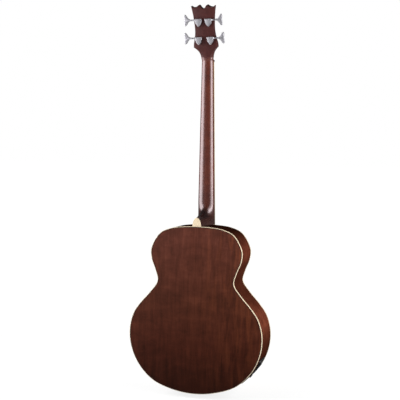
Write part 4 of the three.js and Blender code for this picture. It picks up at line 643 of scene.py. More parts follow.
def make_back():
    outline = rim_inset(SIDE_THICKNESS)
    middle = np.array((0, MIDDLE_Z))
    rings = [(outline - middle) * share + middle for share in np.linspace(1, BACK_CENTRE_SHARE, BACK_RINGS)]
    outer = [at_y(ring, back_y(*ring.T)) for ring in rings]
    inner = [layer - np.array((0, PLATE_THICKNESS, 0)) for layer in outer[::-1]]
    make("back_halves", loft(inner + outer), "back", "back_plate")


# Edge of the soundhole: distance outside its radius and below the face
SOUNDHOLE_STEPS = ((0.25, 0.15), (0.0, SOUNDHOLE_EDGE), (0.0, PLATE_THICKNESS))
SOUNDBOARD_RINGS = 6
# Rosette: name, shade, height above the face, and inner and outer radii of its bands
ROSETTE = (
    ("rosette_lines", "purfling", 0.05, ((53.4, 54.2), (59.6, 60.4), (63, 63.8), (66, 66.8))),
    ("rosette_bands", "rosette", 0.04, ((54.2, 59.6), (63.8, 64.6), (65.2, 66))),
)
ROSETTE_DEPTH = 0.5
ROSETTE_STEPS = 96


def make_soundboard():
    outline = rim_inset(SIDE_THICKNESS)
    centre = np.array((0, SOUNDHOLE_Z))
    away = outline - centre
    hole = polar(1, np.arctan2(away[:, 1], away[:, 0]))
    edge = centre + hole * (SOUNDHOLE_RADIUS + SOUNDHOLE_EDGE)
    shares = np.linspace(0, 1, SOUNDBOARD_RINGS)
    rings = [at_y(outline + (edge - outline) * share, FRONT_Y) for share in shares]
    for outside, drop in SOUNDHOLE_STEPS:
        rings.append(at_y(centre + hole * (SOUNDHOLE_RADIUS + outside), FRONT_Y + drop))
    rings.append(at_y(outline, FRONT_Y + PLATE_THICKNESS))
    make("soundboard_halves", loft(rings, closed=True), "spruce", "soundboard")

    out = axis_frame((0, FRONT_Y, SOUNDHOLE_Z), (0, -1, 0))
    for name, shade, proud, radii in ROSETTE:
        bands = []
        for low, high in radii:
            section = [(low, -ROSETTE_DEPTH), (high, -ROSETTE_DEPTH), (high, proud), (low, proud)]
            bands.append(turned(section, ROSETTE_STEPS, out, ring=True))
        make(name, merged(*bands), shade)


# Jack plate on the bass side; profiles are [radius, height] pairs from the side or the plate's face
JACK_TAIL_DISTANCE = 205
JACK_PLATE_LENGTH = 102
JACK_PLATE_DEPTH = 64
JACK_PLATE_THICKNESS = 1.5
JACK_PLATE_CORNER = 8
JACK_PLATE_MARGIN = 9
JACK_PLATE_FACE = GAP + JACK_PLATE_THICKNESS
JACK_PLATE_LIFT = 0.05
JACK_PLATE_EDGE = ((0, 0.6), (0.2, 0.2), (0.6, 0))
JACK_PLATE_INSETS = (8, 16, 24, 31)
JACK_PLATE_CORNER_STEPS = 6
JACK_PLATE_SIDE_STEPS = 16
JACK_PLATE_LEAST_CORNER = 0.5
JACK_SCREW_SIZE = (2.6, 0.5)
JACK_SCREW_INSET = 5.5
SOCKET_SPACING = 40
JACK_BARREL = ((3.25, -24), (9, -24), (9, -4), (5.7, -4))
JACK_RIM = ((5.7, 0), (6.4, 0), (6.4, 0.4), (5.7, 0.5), (5.7, 1), (5.3, 1.3), (3.6, 1.3), (3.25, 0.9))
JACK_NUT_WIDTH = 13
JACK_NUT_BORE = 5.75
JACK_NUT_HEIGHT = 0.9
JACK_NUT_EDGE = 0.2
SOCKET_SHELL = ((0.1, -26), (12, -26))
SOCKET_RIM = ((12, 0), (14.5, 0), (14.5, 0.7), (14.1, 1.1), (10.4, 1.2), (10, 0.8), (10, -12), (0.1, -12))
SOCKET_PIN = ((1.2, 0), (1.2, 9), (0.9, 9.8), (0.1, 10))
SOCKET_PIN_CIRCLE = 5
SOCKET_PIN_START = -12.5

BASS_SIDE = np.c_[RIM, RIM_NORMALS][HALF_RIM:]
BASS_WALKED = np.r_[0, np.cumsum(np.linalg.norm(np.diff(BASS_SIDE[:, :2], axis=0), axis=1))]


def on_side(along):
    """[x, z] and outward normal of the bass side, at a distance along it from the plate's middle."""
    walked = JACK_TAIL_DISTANCE + along
    found = np.array([np.interp(walked, BASS_WALKED, column) for column in BASS_SIDE.T])
    return found[:2], found[2:] / math.hypot(*found[2:])


JACK, JACK_OUT = on_side(0)
JACK_Y = (FRONT_Y + back_y(*JACK)) / 2
SIDE_ROW_SHARES = (0, 0.02, 0.18, 0.34, 0.5, 0.66, 0.82, 0.98, 1)


def make_sides():
    for name, first in (("treble", 0), ("bass", HALF_RIM)):
        stations = np.arange(first, first + HALF_RIM + 1) % len(RIM)
        grids = []
        for inward in (0, SIDE_THICKNESS):
            flat = rim_inset(inward, stations)
            low = FRONT_Y + BINDING_HEIGHT
            tall = back_y(*flat.T) - BINDING_HEIGHT - low
            grids.append(np.stack([at_y(flat, low + tall * share) for share in SIDE_ROW_SHARES], 1))
        mask = np.ones((len(stations) - 1, len(SIDE_ROW_SHARES) - 1), bool)
        if name == "bass":
            x, y, z = ((grids[0][:-1, :-1] + grids[0][1:, 1:]) / 2).transpose(2, 0, 1)
            mask = np.hypot(x - JACK[0], z - JACK[1]) > JACK_PLATE_LENGTH / 2 - JACK_PLATE_MARGIN
            mask |= np.abs(y - JACK_Y) > JACK_PLATE_DEPTH / 2 - JACK_PLATE_MARGIN
        make("side_panel_" + name, shell_of(*grids, mask), "side", "side_" + name)


def make_linings():
    inner, start = SIDE_THICKNESS + GAP, PLATE_THICKNESS + GAP
    toe, top = start + LINING_TOE, start + LINING_HEIGHT
    tall, thin = (
        [(inner, start), (reach, start), (reach, toe), (inner, top)]
        for reach in (inner + LINING_WIDTH, inner + LINING_WIDTH * (1 - KERF_DEPTH_SHARE))
    )
    kerf = tuple(zip((tall, thin, thin, tall), np.repeat((-KERF_HALF_WIDTH, KERF_HALF_WIDTH), 2)))
    ends = [LINING_TOP_END if i < HALF_RIM / 2 else LINING_TAIL_END for i in range(HALF_RIM + 1)]
    half = [i for i, end in enumerate(ends) if RIM[i][0] > end]
    for part, from_back in (("top", False), ("back", True)):
        for name, sign in (("treble", 1), ("bass", -1)):
            rings = []
            for order, i in enumerate(half):
                uncut = order % KERF_PITCH_STEPS or order in (0, len(half) - 1)
                for section, shift in ((tall, 0),) if uncut else kerf:
                    normal = RIM_NORMALS[i]
                    place = RIM[i] + np.array((normal[1], -normal[0])) * shift
                    ring = []
                    for inward, distance in section:
                        x, z = place - normal * inward
                        y = back_y(x, z) - distance if from_back else FRONT_Y + distance
                        ring.append((sign * x, y, z))
                    rings.append(ring)
            node = part + "_lining_" + name
            make(node + "_kerfed", loft(rings), "brace", node)


# Neck and headstock, as shares of the headstock's sizes
NECK_QUARTER_STEPS = 12
HEEL_RINGS = 18
HEEL_CAP_RINGS = 8
HEEL_CAP_ARC = 0.42 * math.pi
HEEL_TIP_FLAT_SHARE = 0.12
HEEL_ROUND_SHARE = 2.1
SHAFT_ROUND_SHARE = 0.9
SHAFT_FLAT_SHARE = 0.02
THROAT_STEPS = 6
GLOSSY_THROAT_STEPS = 3 * THROAT_STEPS
EAR = (HEAD_EAR_WIDTH / 2, HEAD_LENGTH * 0.268)
HEAD_SIDE_SHARES = ((0.9, 0.325), (0.46, 0.415), (0.1, 0.505), (0, 0.59), (0.06, 0.66), (0.3, 0.79))
HEAD_SIDE_SHARES += ((0.56, 0.88), (1, 0.986))
HEAD_CROWN_SHARES = ((0.93, 0.972), (0.8, 0.962), (0.62, 0.966), (0.46, 0.984), (0.35, 1), (0.28, 0.99))
HEAD_CROWN_SHARES += ((0.16, 0.955), (0.07, 0.94), (0, 0.937))
HEAD_STEPS = 6
CROWN_STEPS = 5
HEAD_BACK_PROUD = 0.05

# Throat: shares of the way outwards and up from the nut to the ears, and the share of its back that is flat
THROAT_SHARES = ((0.005, 0.19, SHAFT_FLAT_SHARE), (0.05, 0.34, 0.16), (0.16, 0.52, 0.4), (0.36, 0.7, 0.68))
THROAT_SHARES += ((0.67, 0.86, 0.9), (1, 1, 1))
NUT_HALF = NUT_WIDTH / 2
THROAT = [(NUT_HALF + (EAR[0] - NUT_HALF) * out, EAR[1] * up, flat) for out, up, flat in THROAT_SHARES]
HEAD = Matrix.Translation((0, FRONT_Y, NUT_Z)) @ Matrix.Rotation(-HEAD_TILT, 4, "X")


def head_point(x, y, z):
    return np.array(HEAD @ Vector((x, y, z)))


def neck_half(z):
    return (NUT_WIDTH + (JOINT_WIDTH - NUT_WIDTH) * (NUT_Z - z) / (NUT_Z - SHOULDER_Z)) / 2


def neck_ring(front_y, front_z, deep_y, deep_z, half, flat, round_share):
    treble = []
    for k in range(NECK_QUARTER_STEPS + 1):
        angle = k / NECK_QUARTER_STEPS * math.pi / 2
        across = 0 if k == NECK_QUARTER_STEPS else math.cos(angle) ** round_share
        deep = math.sin(angle) ** round_share
        x = flat + (half - flat) * across
        treble.append((x, front_y + (deep_y - front_y) * deep, front_z + (deep_z - front_z) * deep))
    return treble + [(-x, y, z) for x, y, z in treble[::-1]]


def make_neck():
    heel_depth = SHOULDER_DEPTH - HEEL_CAP_THICKNESS - GAP
    rings = []
    for share in np.sin(np.linspace(0, HEEL_CAP_ARC, HEEL_CAP_RINGS)):
        z = SHOULDER_Z + GAP + (HEEL_CAP_LENGTH - GAP) * share
        flat = HEEL_CAP_WIDTH / 2 * math.sqrt(1 - share**2)
        rings.append((FRONT_Y, z, FRONT_Y + heel_depth, z, neck_half(z), flat, HEEL_ROUND_SHARE))
    tip = HEEL_CAP_WIDTH / 2 * HEEL_TIP_FLAT_SHARE
    for share in np.linspace(0, 1, HEEL_RINGS):
        z = SHOULDER_Z + HEEL_CAP_LENGTH + HEEL_SWEEP * share**2
        depth = NECK_DEPTH_AT_HEEL + (heel_depth - NECK_DEPTH_AT_HEEL) * (1 - share) ** 2
        round_share = HEEL_ROUND_SHARE + (SHAFT_ROUND_SHARE - HEEL_ROUND_SHARE) * share
        rings.append((FRONT_Y, z, FRONT_Y + depth, z, neck_half(z), tip, round_share))
    back = FRONT_Y + NECK_DEPTH_AT_NUT
    low = NUT_Z - NECK_DEPTH_AT_NUT
    ledge = NUT_Z + NUT_THICKNESS + GAP
    ends = (NUT_HALF * SHAFT_FLAT_SHARE, SHAFT_ROUND_SHARE)
    throat = [(FRONT_Y, low, back, low, neck_half(low), *ends)]
    throat.append((FRONT_Y, ledge, back, NUT_Z, NUT_HALF, *ends))
    for half, up, flat in THROAT:
        front = head_point(0, VENEER_THICKNESS + GAP, up)
        deep = head_point(0, HEAD_THICKNESS, up)
        square = SHAFT_ROUND_SHARE * (1 - flat) + flat
        throat.append((*front[1:], *deep[1:], half, half * flat, square))
    bend = [neck_ring(*ring) for ring in spline(throat, THROAT_STEPS)]
    shaft = [neck_ring(*ring) for ring in rings] + bend[: GLOSSY_THROAT_STEPS + 1]
    make("neck_shaft", loft(shaft), "neck", "neck")
    faces = edge_profile(VENEER_THICKNESS + GAP / 3, HEAD_THICKNESS + HEAD_BACK_PROUD, HEAD_EDGE, both=False)
    blade = merged(moved(prism(head_outline(True), faces), HEAD), loft(bend[GLOSSY_THROAT_STEPS:]))
    make("headstock_blade", blade, "head")


def head_outline(with_back_flat):
    """Outline of the headstock, down to the end of the flat on its back or to the nut."""
    middle = HEAD_MIDDLE_WIDTH / 2
    narrowest = min(HEAD_SIDE_SHARES)[1]
    side = [EAR]
    for out, up in HEAD_SIDE_SHARES:
        wide = (HEAD_EAR_WIDTH if up < narrowest else HEAD_TOP_WIDTH) / 2
        side.append((middle + (wide - middle) * out, HEAD_LENGTH * up))
    crown = [side[-1]] + [(HEAD_TOP_WIDTH / 2 * out, HEAD_LENGTH * up) for out, up in HEAD_CROWN_SHARES]
    throat = [(half * flat if with_back_flat else half, up) for half, up, flat in THROAT]
    if with_back_flat:
        foot = (0, throat[0][1])
        lower = spline([foot] + throat[1:], HEAD_STEPS)[1:-1]
    else:
        lower = np.vstack([(NUT_HALF, VENEER_START), spline(throat[1:], HEAD_STEPS)[:-1]])
    right = np.vstack([lower, spline(side, HEAD_STEPS)[:-1], spline(crown, CROWN_STEPS)])
    outline = mirrored(right)
    return np.vstack([foot, outline]) if with_back_flat else outline


# Places of the tuning machines: side, distance from the middle, distance from the nut, string
POSTS = ((-1, 19.4, 68.8, 0), (-1, 16.3, 125.8, 1), (1, 16.3, 125.8, 2), (1, 19.4, 68.8, 3))
POST_HOLE_DIAMETER = 13

# Cover of the truss rod: shares of its half width and its length
COVER_SHARES = ((1, 0), (1, 0.17), (0.62, 0.5), (0.62, 0.8), (0.25, 1))
COVER_START = 11
COVER_LENGTH = 40
COVER_WIDTH = 24
COVER_TOP = -2.3
COVER_EDGE = 0.4
COVER_SCREW_SIZE = (1.9, 0.9)
COVER_SCREWS = ((-8.4, 14.6), (8.4, 14.6), (0, 47))
HEEL_CAP_STEPS = 27
HEEL_LINE_PROUD = 0.1

# Domed screw head with a cross recess: shares of its radius and its height. A size is [radius, height].
SCREW_SHARES = ((1, 0), (1, 0.35), (0.9, 0.7), (0.62, 0.95), (0.6, 0.95), (0.25, 1), (0.04, 1))
SCREW_STEPS = 32
CROSS_SHARE = 0.61
CROSS_DEPTH_SHARE = 0.55
CROSS_HALF_STEPS = 1.1
SCREW_SUNK = 0.05


def screw(radius, height, matrix):
    arm = SCREW_STEPS / 4
    rings = []
    for share, rise in SCREW_SHARES:
        ring = []
        for k, (c, s) in enumerate(polar(radius * share, full_turn(SCREW_STEPS))):
            in_cross = share < CROSS_SHARE and abs((k + arm / 2) % arm - arm / 2) < CROSS_HALF_STEPS
            ring.append((c, s, height * (rise - (CROSS_DEPTH_SHARE if in_cross else 0))))
        rings.append(ring)
    return moved(loft(rings), matrix)


def make_head_fittings():
    holes = [circle(side * across, along, POST_HOLE_DIAMETER / 2) for side, across, along, _ in POSTS]
    faces = edge_profile(VENEER_THICKNESS, 0, -HEAD_EDGE / 2, both=False)
    veneer = moved(prism(head_outline(False), faces, holes), HEAD)
    make("headstock_face", veneer, "veneer", "headstock_veneer")

    right = spline([(COVER_WIDTH / 2 * a, COVER_START + COVER_LENGTH * u) for a, u in COVER_SHARES], 6)
    cover = prism(mirrored(right, 0), edge_profile(COVER_TOP, -GAP, COVER_EDGE))
    make("truss_cover", moved(cover, HEAD), "black", "truss_rod_cover")
    places = [axis_frame((x, COVER_TOP + SCREW_SUNK, z), (0, -1, 0)) for x, z in COVER_SCREWS]
    heads = [screw(*COVER_SCREW_SIZE, HEAD @ place) for place in places]
    make("truss_cover_screws", merged(*heads), "steel")


def make_heel_cap():
    outline = polar(1, np.linspace(0, math.pi, HEEL_CAP_STEPS))
    outline = outline * (HEEL_CAP_WIDTH / 2, HEEL_CAP_LENGTH - GAP) + (0, SHOULDER_Z + GAP)
    high = FRONT_Y + SHOULDER_DEPTH
    low = high - HEEL_CAP_THICKNESS
    cap = prism(outline, edge_profile(low, high, HEEL_CAP_EDGE, both=False))
    make("heel_cap_plate", cap, "cream", "heel_cap")
    line = prism(outline, [(-HEEL_LINE_PROUD, low - GAP), (-HEEL_LINE_PROUD, low)])
    make("heel_cap_line", line, "purfling")


# Fingerboard
BOARD_PAST_LAST_FRET = 4
BOARD_EDGE_THICKNESS = 5.5
BOARD_CROWN = 1
BOARD_BINDING_THICKNESS = 1.5
FRET_WIDTH = 2.4
FRET_HEIGHT = 1.1
FRET_SUNK = 0.3
FRET_END_HEIGHT_SHARE = 0.25
FRET_SHARES = (1, *np.linspace(0.985, -0.985, 13), -1)
DOT_FRETS = (3, 5, 7, 9, 12, 15, 17, 19, 21)
TWO_DOT_FRET = 12
DOT_SPREAD = 9
SIDE_DOT_SPREAD = 4
DOT_PROFILE = ((3.2, -1), (3.2, 0.02), (3.0, 0.06))
SIDE_DOT_PROFILE = ((1, -1), (1, 0.05))


def fret_z(fret):
    return NUT_Z - SCALE_LENGTH * (1 - 2 ** (-fret / 12))


def board_y(share):
    return BOARD_BACK_Y - BOARD_EDGE_THICKNESS - BOARD_CROWN * (1 - share * share)


def make_fingerboard():
    inset = BOARD_BINDING_THICKNESS
    end = fret_z(FRETS) - BOARD_PAST_LAST_FRET
    rings = []
    for z in np.linspace(NUT_Z - GAP, end + inset, 12):
        half = neck_half(z) - inset
        top = [(half * s, board_y(s), z) for s in np.linspace(1, -1, 17)]
        rings.append([(-half, BOARD_BACK_Y, z), (half, BOARD_BACK_Y, z)] + top)
    make("fingerboard_wood", loft(rings), "rosewood", "fingerboard")

    frets = []
    profile = polar(1, np.linspace(0, math.pi, 9))
    for z in (fret_z(fret) for fret in range(1, FRETS + 1)):
        half = neck_half(z) - inset / 2
        rings = []
        for share in FRET_SHARES:
            tall = FRET_HEIGHT * (FRET_END_HEIGHT_SHARE if abs(share) == 1 else 1) + FRET_SUNK
            base = board_y(share) + FRET_SUNK
            rings.append([(half * share, base - tall * s, z + FRET_WIDTH / 2 * c) for c, s in profile])
        frets.append(loft(rings))
    make("fret_wires", merged(*frets), "fret")

    dots, side_dots = [], []
    for fret in DOT_FRETS:
        z = (fret_z(fret) + fret_z(fret - 1)) / 2
        for side in (-1, 1) if fret == TWO_DOT_FRET else (0,):
            x = side * DOT_SPREAD
            dots.append(turned(DOT_PROFILE, 28, axis_frame((x, board_y(x / neck_half(z)), z), (0, -1, 0))))
            at = z + side * SIDE_DOT_SPREAD
            place = (-neck_half(at), BOARD_BACK_Y - BOARD_EDGE_THICKNESS / 2, at)
            side_dots.append(turned(SIDE_DOT_PROFILE, 20, axis_frame(place, (-1, 0, 0), (0, 0, 1))))
    make("position_dots", merged(*dots), "pearl")
    make("side_dots", merged(*side_dots), "black")


# Bridge
BRIDGE_WIDTH = 160
BRIDGE_LENGTH = 40
BRIDGE_THICKNESS = 9
BRIDGE_WING_THICKNESS = 4
BRIDGE_WING_SHARES = ((1, 0), (0.94, 0.12), (0.84, 0.5), (0.72, 1), (0.6, 1))
BRIDGE_CORNER = 9
BRIDGE_CORNER_TIP = 0.2
BRIDGE_END_DROP_SHARE = 0.45
BRIDGE_EDGE = 1.4
BRIDGE_EDGE_SHARE = 1 / 2.1
BRIDGE_STATIONS = 20
SADDLE_TO_BRIDGE_EDGE = 12
SADDLE_WIDTH = 78
SADDLE_THICKNESS = 3
SADDLE_DEPTH = 3.5
SADDLE_ABOVE_BRIDGE = 3.6
SADDLE_ROUND = 0.6
PIN_TO_SADDLE = 14
PIN_SHANK_LENGTH = 7.5
PIN_HEAD_DIAMETER = 7.6
PIN_PROFILE = ((2.3, -7.5), (2.7, 0.2), (3.5, 0.35), (3.8, 0.9), (3.75, 1.5), (3.3, 2.4), (2.5, 3.1))
PIN_PROFILE += ((1.5, 3.55), (0.5, 3.75), (0.05, 3.78))
PIN_DOT_HEIGHT = 3.6
PIN_DOT_PROFILE = ((1.3, -0.6), (1.3, 0.12), (1.0, 0.26), (0.1, 0.32))
PIN_Z = SADDLE_Z - PIN_TO_SADDLE
BRIDGE_FACE_Y = BOARD_BACK_Y - BRIDGE_THICKNESS

# Strings
STRING_SPREAD_AT_SADDLE = 57
STRING_SPREAD_AT_NUT = 30
STRING_DIAMETERS = (2.54, 2.03, 1.65, 1.14)
STRING_ABOVE_BOARD = 1.6
STRING_FLOOR_Y = BOARD_BACK_Y - BOARD_EDGE_THICKNESS - BOARD_CROWN - STRING_ABOVE_BOARD
STRING_POINTS = 24
STRING_END_SHARE = 0.02
# Way of a string out of the bridge: depth below its face, and way towards the saddle
STRING_START = ((PIN_SHANK_LENGTH, 0), (1, 0), (-0.6, 0.4))
WINDING_STEPS = 40
WINDING_TURNS = 2.25
WINDING_GAP = 0.55


def string_x(i, spread):
    return spread * (i / (len(STRING_DIAMETERS) - 1) - 1 / 2)


def make_bridge():
    half, inner = BRIDGE_WIDTH / 2, BRIDGE_WIDTH / 2 - BRIDGE_CORNER
    high = SADDLE_Z + SADDLE_TO_BRIDGE_EDGE
    low = high - BRIDGE_LENGTH
    shares = spline(BRIDGE_WING_SHARES, 6)[::-1]
    ends = half - BRIDGE_CORNER * (1 - np.sin(np.linspace(0, math.pi / 2, 5)))
    stations = sorted(set(np.round(np.r_[ends, np.linspace(0, inner, BRIDGE_STATIONS)], 4)))
    rings = []
    for x in [-s for s in stations[::-1]] + stations[1:]:
        into = max(abs(x) - inner, 0)
        corner = BRIDGE_CORNER - math.sqrt(max(BRIDGE_CORNER**2 - into**2, BRIDGE_CORNER_TIP**2))
        height = BRIDGE_WING_THICKNESS
        height += (BRIDGE_THICKNESS - BRIDGE_WING_THICKNESS) * np.interp(abs(x) / half, *shares.T)
        top = BOARD_BACK_Y - height * (1 - (into / BRIDGE_CORNER) ** 4 * BRIDGE_END_DROP_SHARE)
        a, b = low + corner, high - corner
        edge = quarter_round(min(BRIDGE_EDGE, (b - a) * BRIDGE_EDGE_SHARE))
        ring = [(x, BOARD_BACK_Y, a), (x, BOARD_BACK_Y, b)]
        ring += [(x, top + drop, b - inset) for inset, drop in edge]
        rings.append(ring + [(x, top + drop, a + inset) for inset, drop in edge[::-1]])
    make("bridge_wood", loft(rings), "rosewood", "bridge")

    half, r = SADDLE_WIDTH / 2, SADDLE_THICKNESS / 2
    rings = []
    for x in np.r_[-half, np.linspace(SADDLE_ROUND - half, half - SADDLE_ROUND, 9), half]:
        top = BRIDGE_FACE_Y - SADDLE_ABOVE_BRIDGE + (SADDLE_ROUND if abs(x) == half else 0)
        crown = polar(1, np.linspace(0, math.pi, 7))
        ring = [(x, top + SADDLE_ROUND * (1 - s), SADDLE_Z + r * c) for c, s in crown]
        rings.append(ring + [(x, BRIDGE_FACE_Y + SADDLE_DEPTH, SADDLE_Z + side * r) for side in (-1, 1)])
    make("saddle_bar", loft(rings), "bone", "saddle")

    dots = []
    for i in range(len(STRING_DIAMETERS)):
        x = string_x(i, STRING_SPREAD_AT_SADDLE)
        name = f"bridge_pin_{i + 1}"
        pin = turned(PIN_PROFILE, 28, axis_frame((x, BRIDGE_FACE_Y, PIN_Z), (0, -1, 0)))
        make(name + "_turned", pin, "black", name)
        place = axis_frame((x, BRIDGE_FACE_Y - PIN_DOT_HEIGHT, PIN_Z), (0, -1, 0))
        dots.append(turned(PIN_DOT_PROFILE, 20, place))
    make("pin_dots", merged(*dots), "pearl")


# Tuning machines; profiles are [radius, height] pairs from the place that their name says
BUSHING_SECTION = ((5.2, -8), (6.2, -8), (6.2, 0.05), (9, 0.05), (9, 1.2), (8.7, 1.8), (8.0, 2.2))
BUSHING_SECTION += ((7.2, 2.3), (6.4, 2.1), (5.9, 2.25), (5.2, 2.25))
BUSHING_FLANGE_THICKNESS = 2
BUSHING_TOP = GAP + BUSHING_FLANGE_THICKNESS + GAP
POST_WAIST_RADIUS = 4.6
POST_WAIST_LENGTH = 11
POST_FLANGE_THICKNESS = 1.2
POST_END = BUSHING_TOP + POST_FLANGE_THICKNESS + POST_WAIST_LENGTH
POST_AT_GEAR = ((0.2, 0.5), (4.8, 0.5))
POST_AT_BUSHING = ((4.8, 0), (6.1, 0), (6.3, 0.3), (6.3, 0.9), (6.0, 1.2), (5.1, 1.3))
POST_AT_BUSHING += ((POST_WAIST_RADIUS, 2),)
POST_AT_END = ((POST_WAIST_RADIUS, -0.8), (5.0, 0), (0.2, 0))
LIP_RADIUS = 5.7
LIP_HEIGHT = 4
LIP_SLOT_HALF_WIDTH = 1.5
LIP_EDGE = 0.6
GEAR_DIAMETER = 13.6
GEAR_THICKNESS = 4
GEAR_TEETH = 20
GEAR_TOOTH_DEPTH = 0.9
GEAR_EDGE = 0.3
MACHINE_AXIS_Y = HEAD_THICKNESS + 6
WORM_AXIS_TO_POST = 9.5
WORM_DIAMETER = 4.6
WORM_LENGTH = 9
WORM_RADIUS = 1.9
WORM_TURNS = 4
THREAD_RADIUS = 0.4
TURN_STEPS = 20
HOUSING_WIDTH = 20.6
HOUSING_HEIGHT = 9.2
HOUSING_SEAT = HEAD_THICKNESS + 0.1
HOUSING_WALL = 1.3
HOUSING_CLEARANCE = 0.4
HOUSING_CORNER = 1.2
HOUSING_EDGE = 1.1
HOUSING_TOP = HEAD_THICKNESS + GAP + HOUSING_HEIGHT
HOUSING_SHOULDERS = ((1, -8), (0.985, -9.4))
HOUSING_BELLY_DEGREES = (-4, -14, -26, -38, -50)
HOUSING_TAB_DEGREES = (-15, -35, -55, -75, -90)
HOUSING_TAB_RADIUS = 2.4
HOUSING_TAB_Z = -9.2
HOUSING_SCREW_SIZE = (1.6, 0.8)
HOUSING_SCREWS = ((0, -8.9), (-7.6, 10.6), (7.6, 10.6))
KEY_REACH = 46.5
KEY_AT_WORM = ((0.1, 0), (1.9, 0))
KEY_AT_COLLAR = ((1.9, 0), (3.2, 0), (3.5, 0.5), (3.5, 2), (3.1, 2.6), (2.5, 3))
KEY_AT_STEM = ((2.4, 2), (2.3, 6), (1.8, 10), (0.8, 13), (0.1, 13.6))
BUTTON_WIDTH = 21.5
BUTTON_HEIGHT = 36
BUTTON_THICKNESS = 4.6
BUTTON_BEVEL = 1.1
BUTTON_SHARES = ((0.03, 0), (0, 0.55), (0.02, 0.88), (0.12, 1), (0.26, 0.94), (0.4, 0.76), (0.56, 0.45))
BUTTON_SHARES += ((0.76, 0.22), (1, 0.13))


def make_string(side, across, along, i):
    """String from its pin over saddle and nut, then up its post in turns."""
    r = STRING_DIAMETERS[i] / 2
    saddle_x = string_x(i, STRING_SPREAD_AT_SADDLE)
    rise_z = PIN_Z + PIN_HEAD_DIAMETER / 2 + GAP + r
    saddle = np.array((saddle_x, BRIDGE_FACE_Y - SADDLE_ABOVE_BRIDGE - GAP - r, SADDLE_Z))
    nut = np.array((string_x(i, STRING_SPREAD_AT_NUT), STRING_FLOOR_Y - GAP - r, NUT_Z))
    shares = np.linspace(STRING_END_SHARE, 1 - STRING_END_SHARE, STRING_POINTS)
    path = [(saddle_x, BRIDGE_FACE_Y + deep, rise_z + onward) for deep, onward in STRING_START]
    path += [saddle + (0, 0, side * SADDLE_THICKNESS / 2) for side in (-1, 1)]
    path += [saddle + (nut - saddle) * share for share in shares]
    path += [nut, nut + (0, 0, NUT_THICKNESS)]
    start = HEAD.inverted() @ Vector(path[-1])
    reach = POST_WAIST_RADIUS + GAP + r
    to_post = np.array((across - abs(start.x), along - start.z))
    heading = math.atan2(to_post[1], to_post[0]) + math.asin(reach / np.hypot(*to_post))
    seat = -(BUSHING_TOP + POST_FLANGE_THICKNESS + GAP + r + GAP)
    pitch = STRING_DIAMETERS[i] + WINDING_GAP
    for turn in np.arange(round(WINDING_TURNS * WINDING_STEPS) + 1) / WINDING_STEPS:
        angle = heading + math.pi / 2 - turn * 2 * math.pi
        x = side * (across + reach * math.cos(angle))
        path.append(head_point(x, seat - pitch * turn, along + reach * math.sin(angle)))
    name = f"string_{i + 1}"
    make(name + "_wound", tube(path, r, 14), "string", name, crease=math.radians(60))


def make_post(number, machine):
    out = machine @ axis_frame((0, 0, 0), (0, -1, 0))
    profile = raised(POST_AT_GEAR, -(MACHINE_AXIS_Y + GEAR_THICKNESS / 2))
    profile += raised(POST_AT_BUSHING, BUSHING_TOP) + raised(POST_AT_END, POST_END)
    depths = np.tile((0, 0, -GEAR_TOOTH_DEPTH, -GEAR_TOOTH_DEPTH), GEAR_TEETH)
    teeth = polar(GEAR_DIAMETER / 2 + depths, full_turn(len(depths)))
    half = GEAR_THICKNESS / 2
    gear = prism(teeth, edge_profile(MACHINE_AXIS_Y - half, MACHINE_AXIS_Y + half, GEAR_EDGE))
    opening = math.acos(LIP_SLOT_HALF_WIDTH / LIP_RADIUS)
    lip = polar(LIP_RADIUS, np.linspace(-opening, opening, 20))
    slab = edge_profile(-(POST_END + LIP_HEIGHT), 0.3 - POST_END, LIP_EDGE)
    lips = [moved(prism(lip * (side, 1), slab), machine) for side in (-1, 1)]
    shell = merged(turned(profile, 40, out), moved(gear, machine), *lips)
    make(f"tuner_{number}_spindle", shell, "chrome", f"tuner_{number}_post", f"post_{number}")
    collar = turned(BUSHING_SECTION, 48, out, ring=True)
    make(f"tuner_{number}_collar", collar, "chrome", f"tuner_{number}_bushing")


def housing_outline():
    half = HOUSING_WIDTH / 2
    top = WORM_AXIS_TO_POST + WORM_DIAMETER / 2 + HOUSING_CLEARANCE + HOUSING_WALL
    corner = rounded(half, 0, top, HOUSING_CORNER, 4)[4::-1]
    belly = polar(GEAR_DIAMETER / 2 + HOUSING_CLEARANCE + HOUSING_WALL, np.radians(HOUSING_BELLY_DEGREES))
    tab = polar(HOUSING_TAB_RADIUS, np.radians(HOUSING_TAB_DEGREES)) + (0, HOUSING_TAB_Z)
    shoulders = [(half * share, top + drop) for share, drop in HOUSING_SHOULDERS]
    return mirrored(np.vstack([corner, spline(np.vstack([shoulders, belly, tab]), 3)]))


def make_housing(number, machine):
    slab = edge_profile(HOUSING_SEAT, HOUSING_TOP, HOUSING_EDGE, 5, both=False)
    cover = moved(prism(housing_outline(), slab), machine)
    make(f"tuner_{number}_cover", cover, "chrome", f"tuner_{number}_housing")
    places = [axis_frame((x, HOUSING_TOP - SCREW_SUNK, z), (0, 1, 0)) for x, z in HOUSING_SCREWS]
    heads = [screw(*HOUSING_SCREW_SIZE, machine @ place) for place in places]
    make(f"tuner_{number}_screws", merged(*heads), "steel")


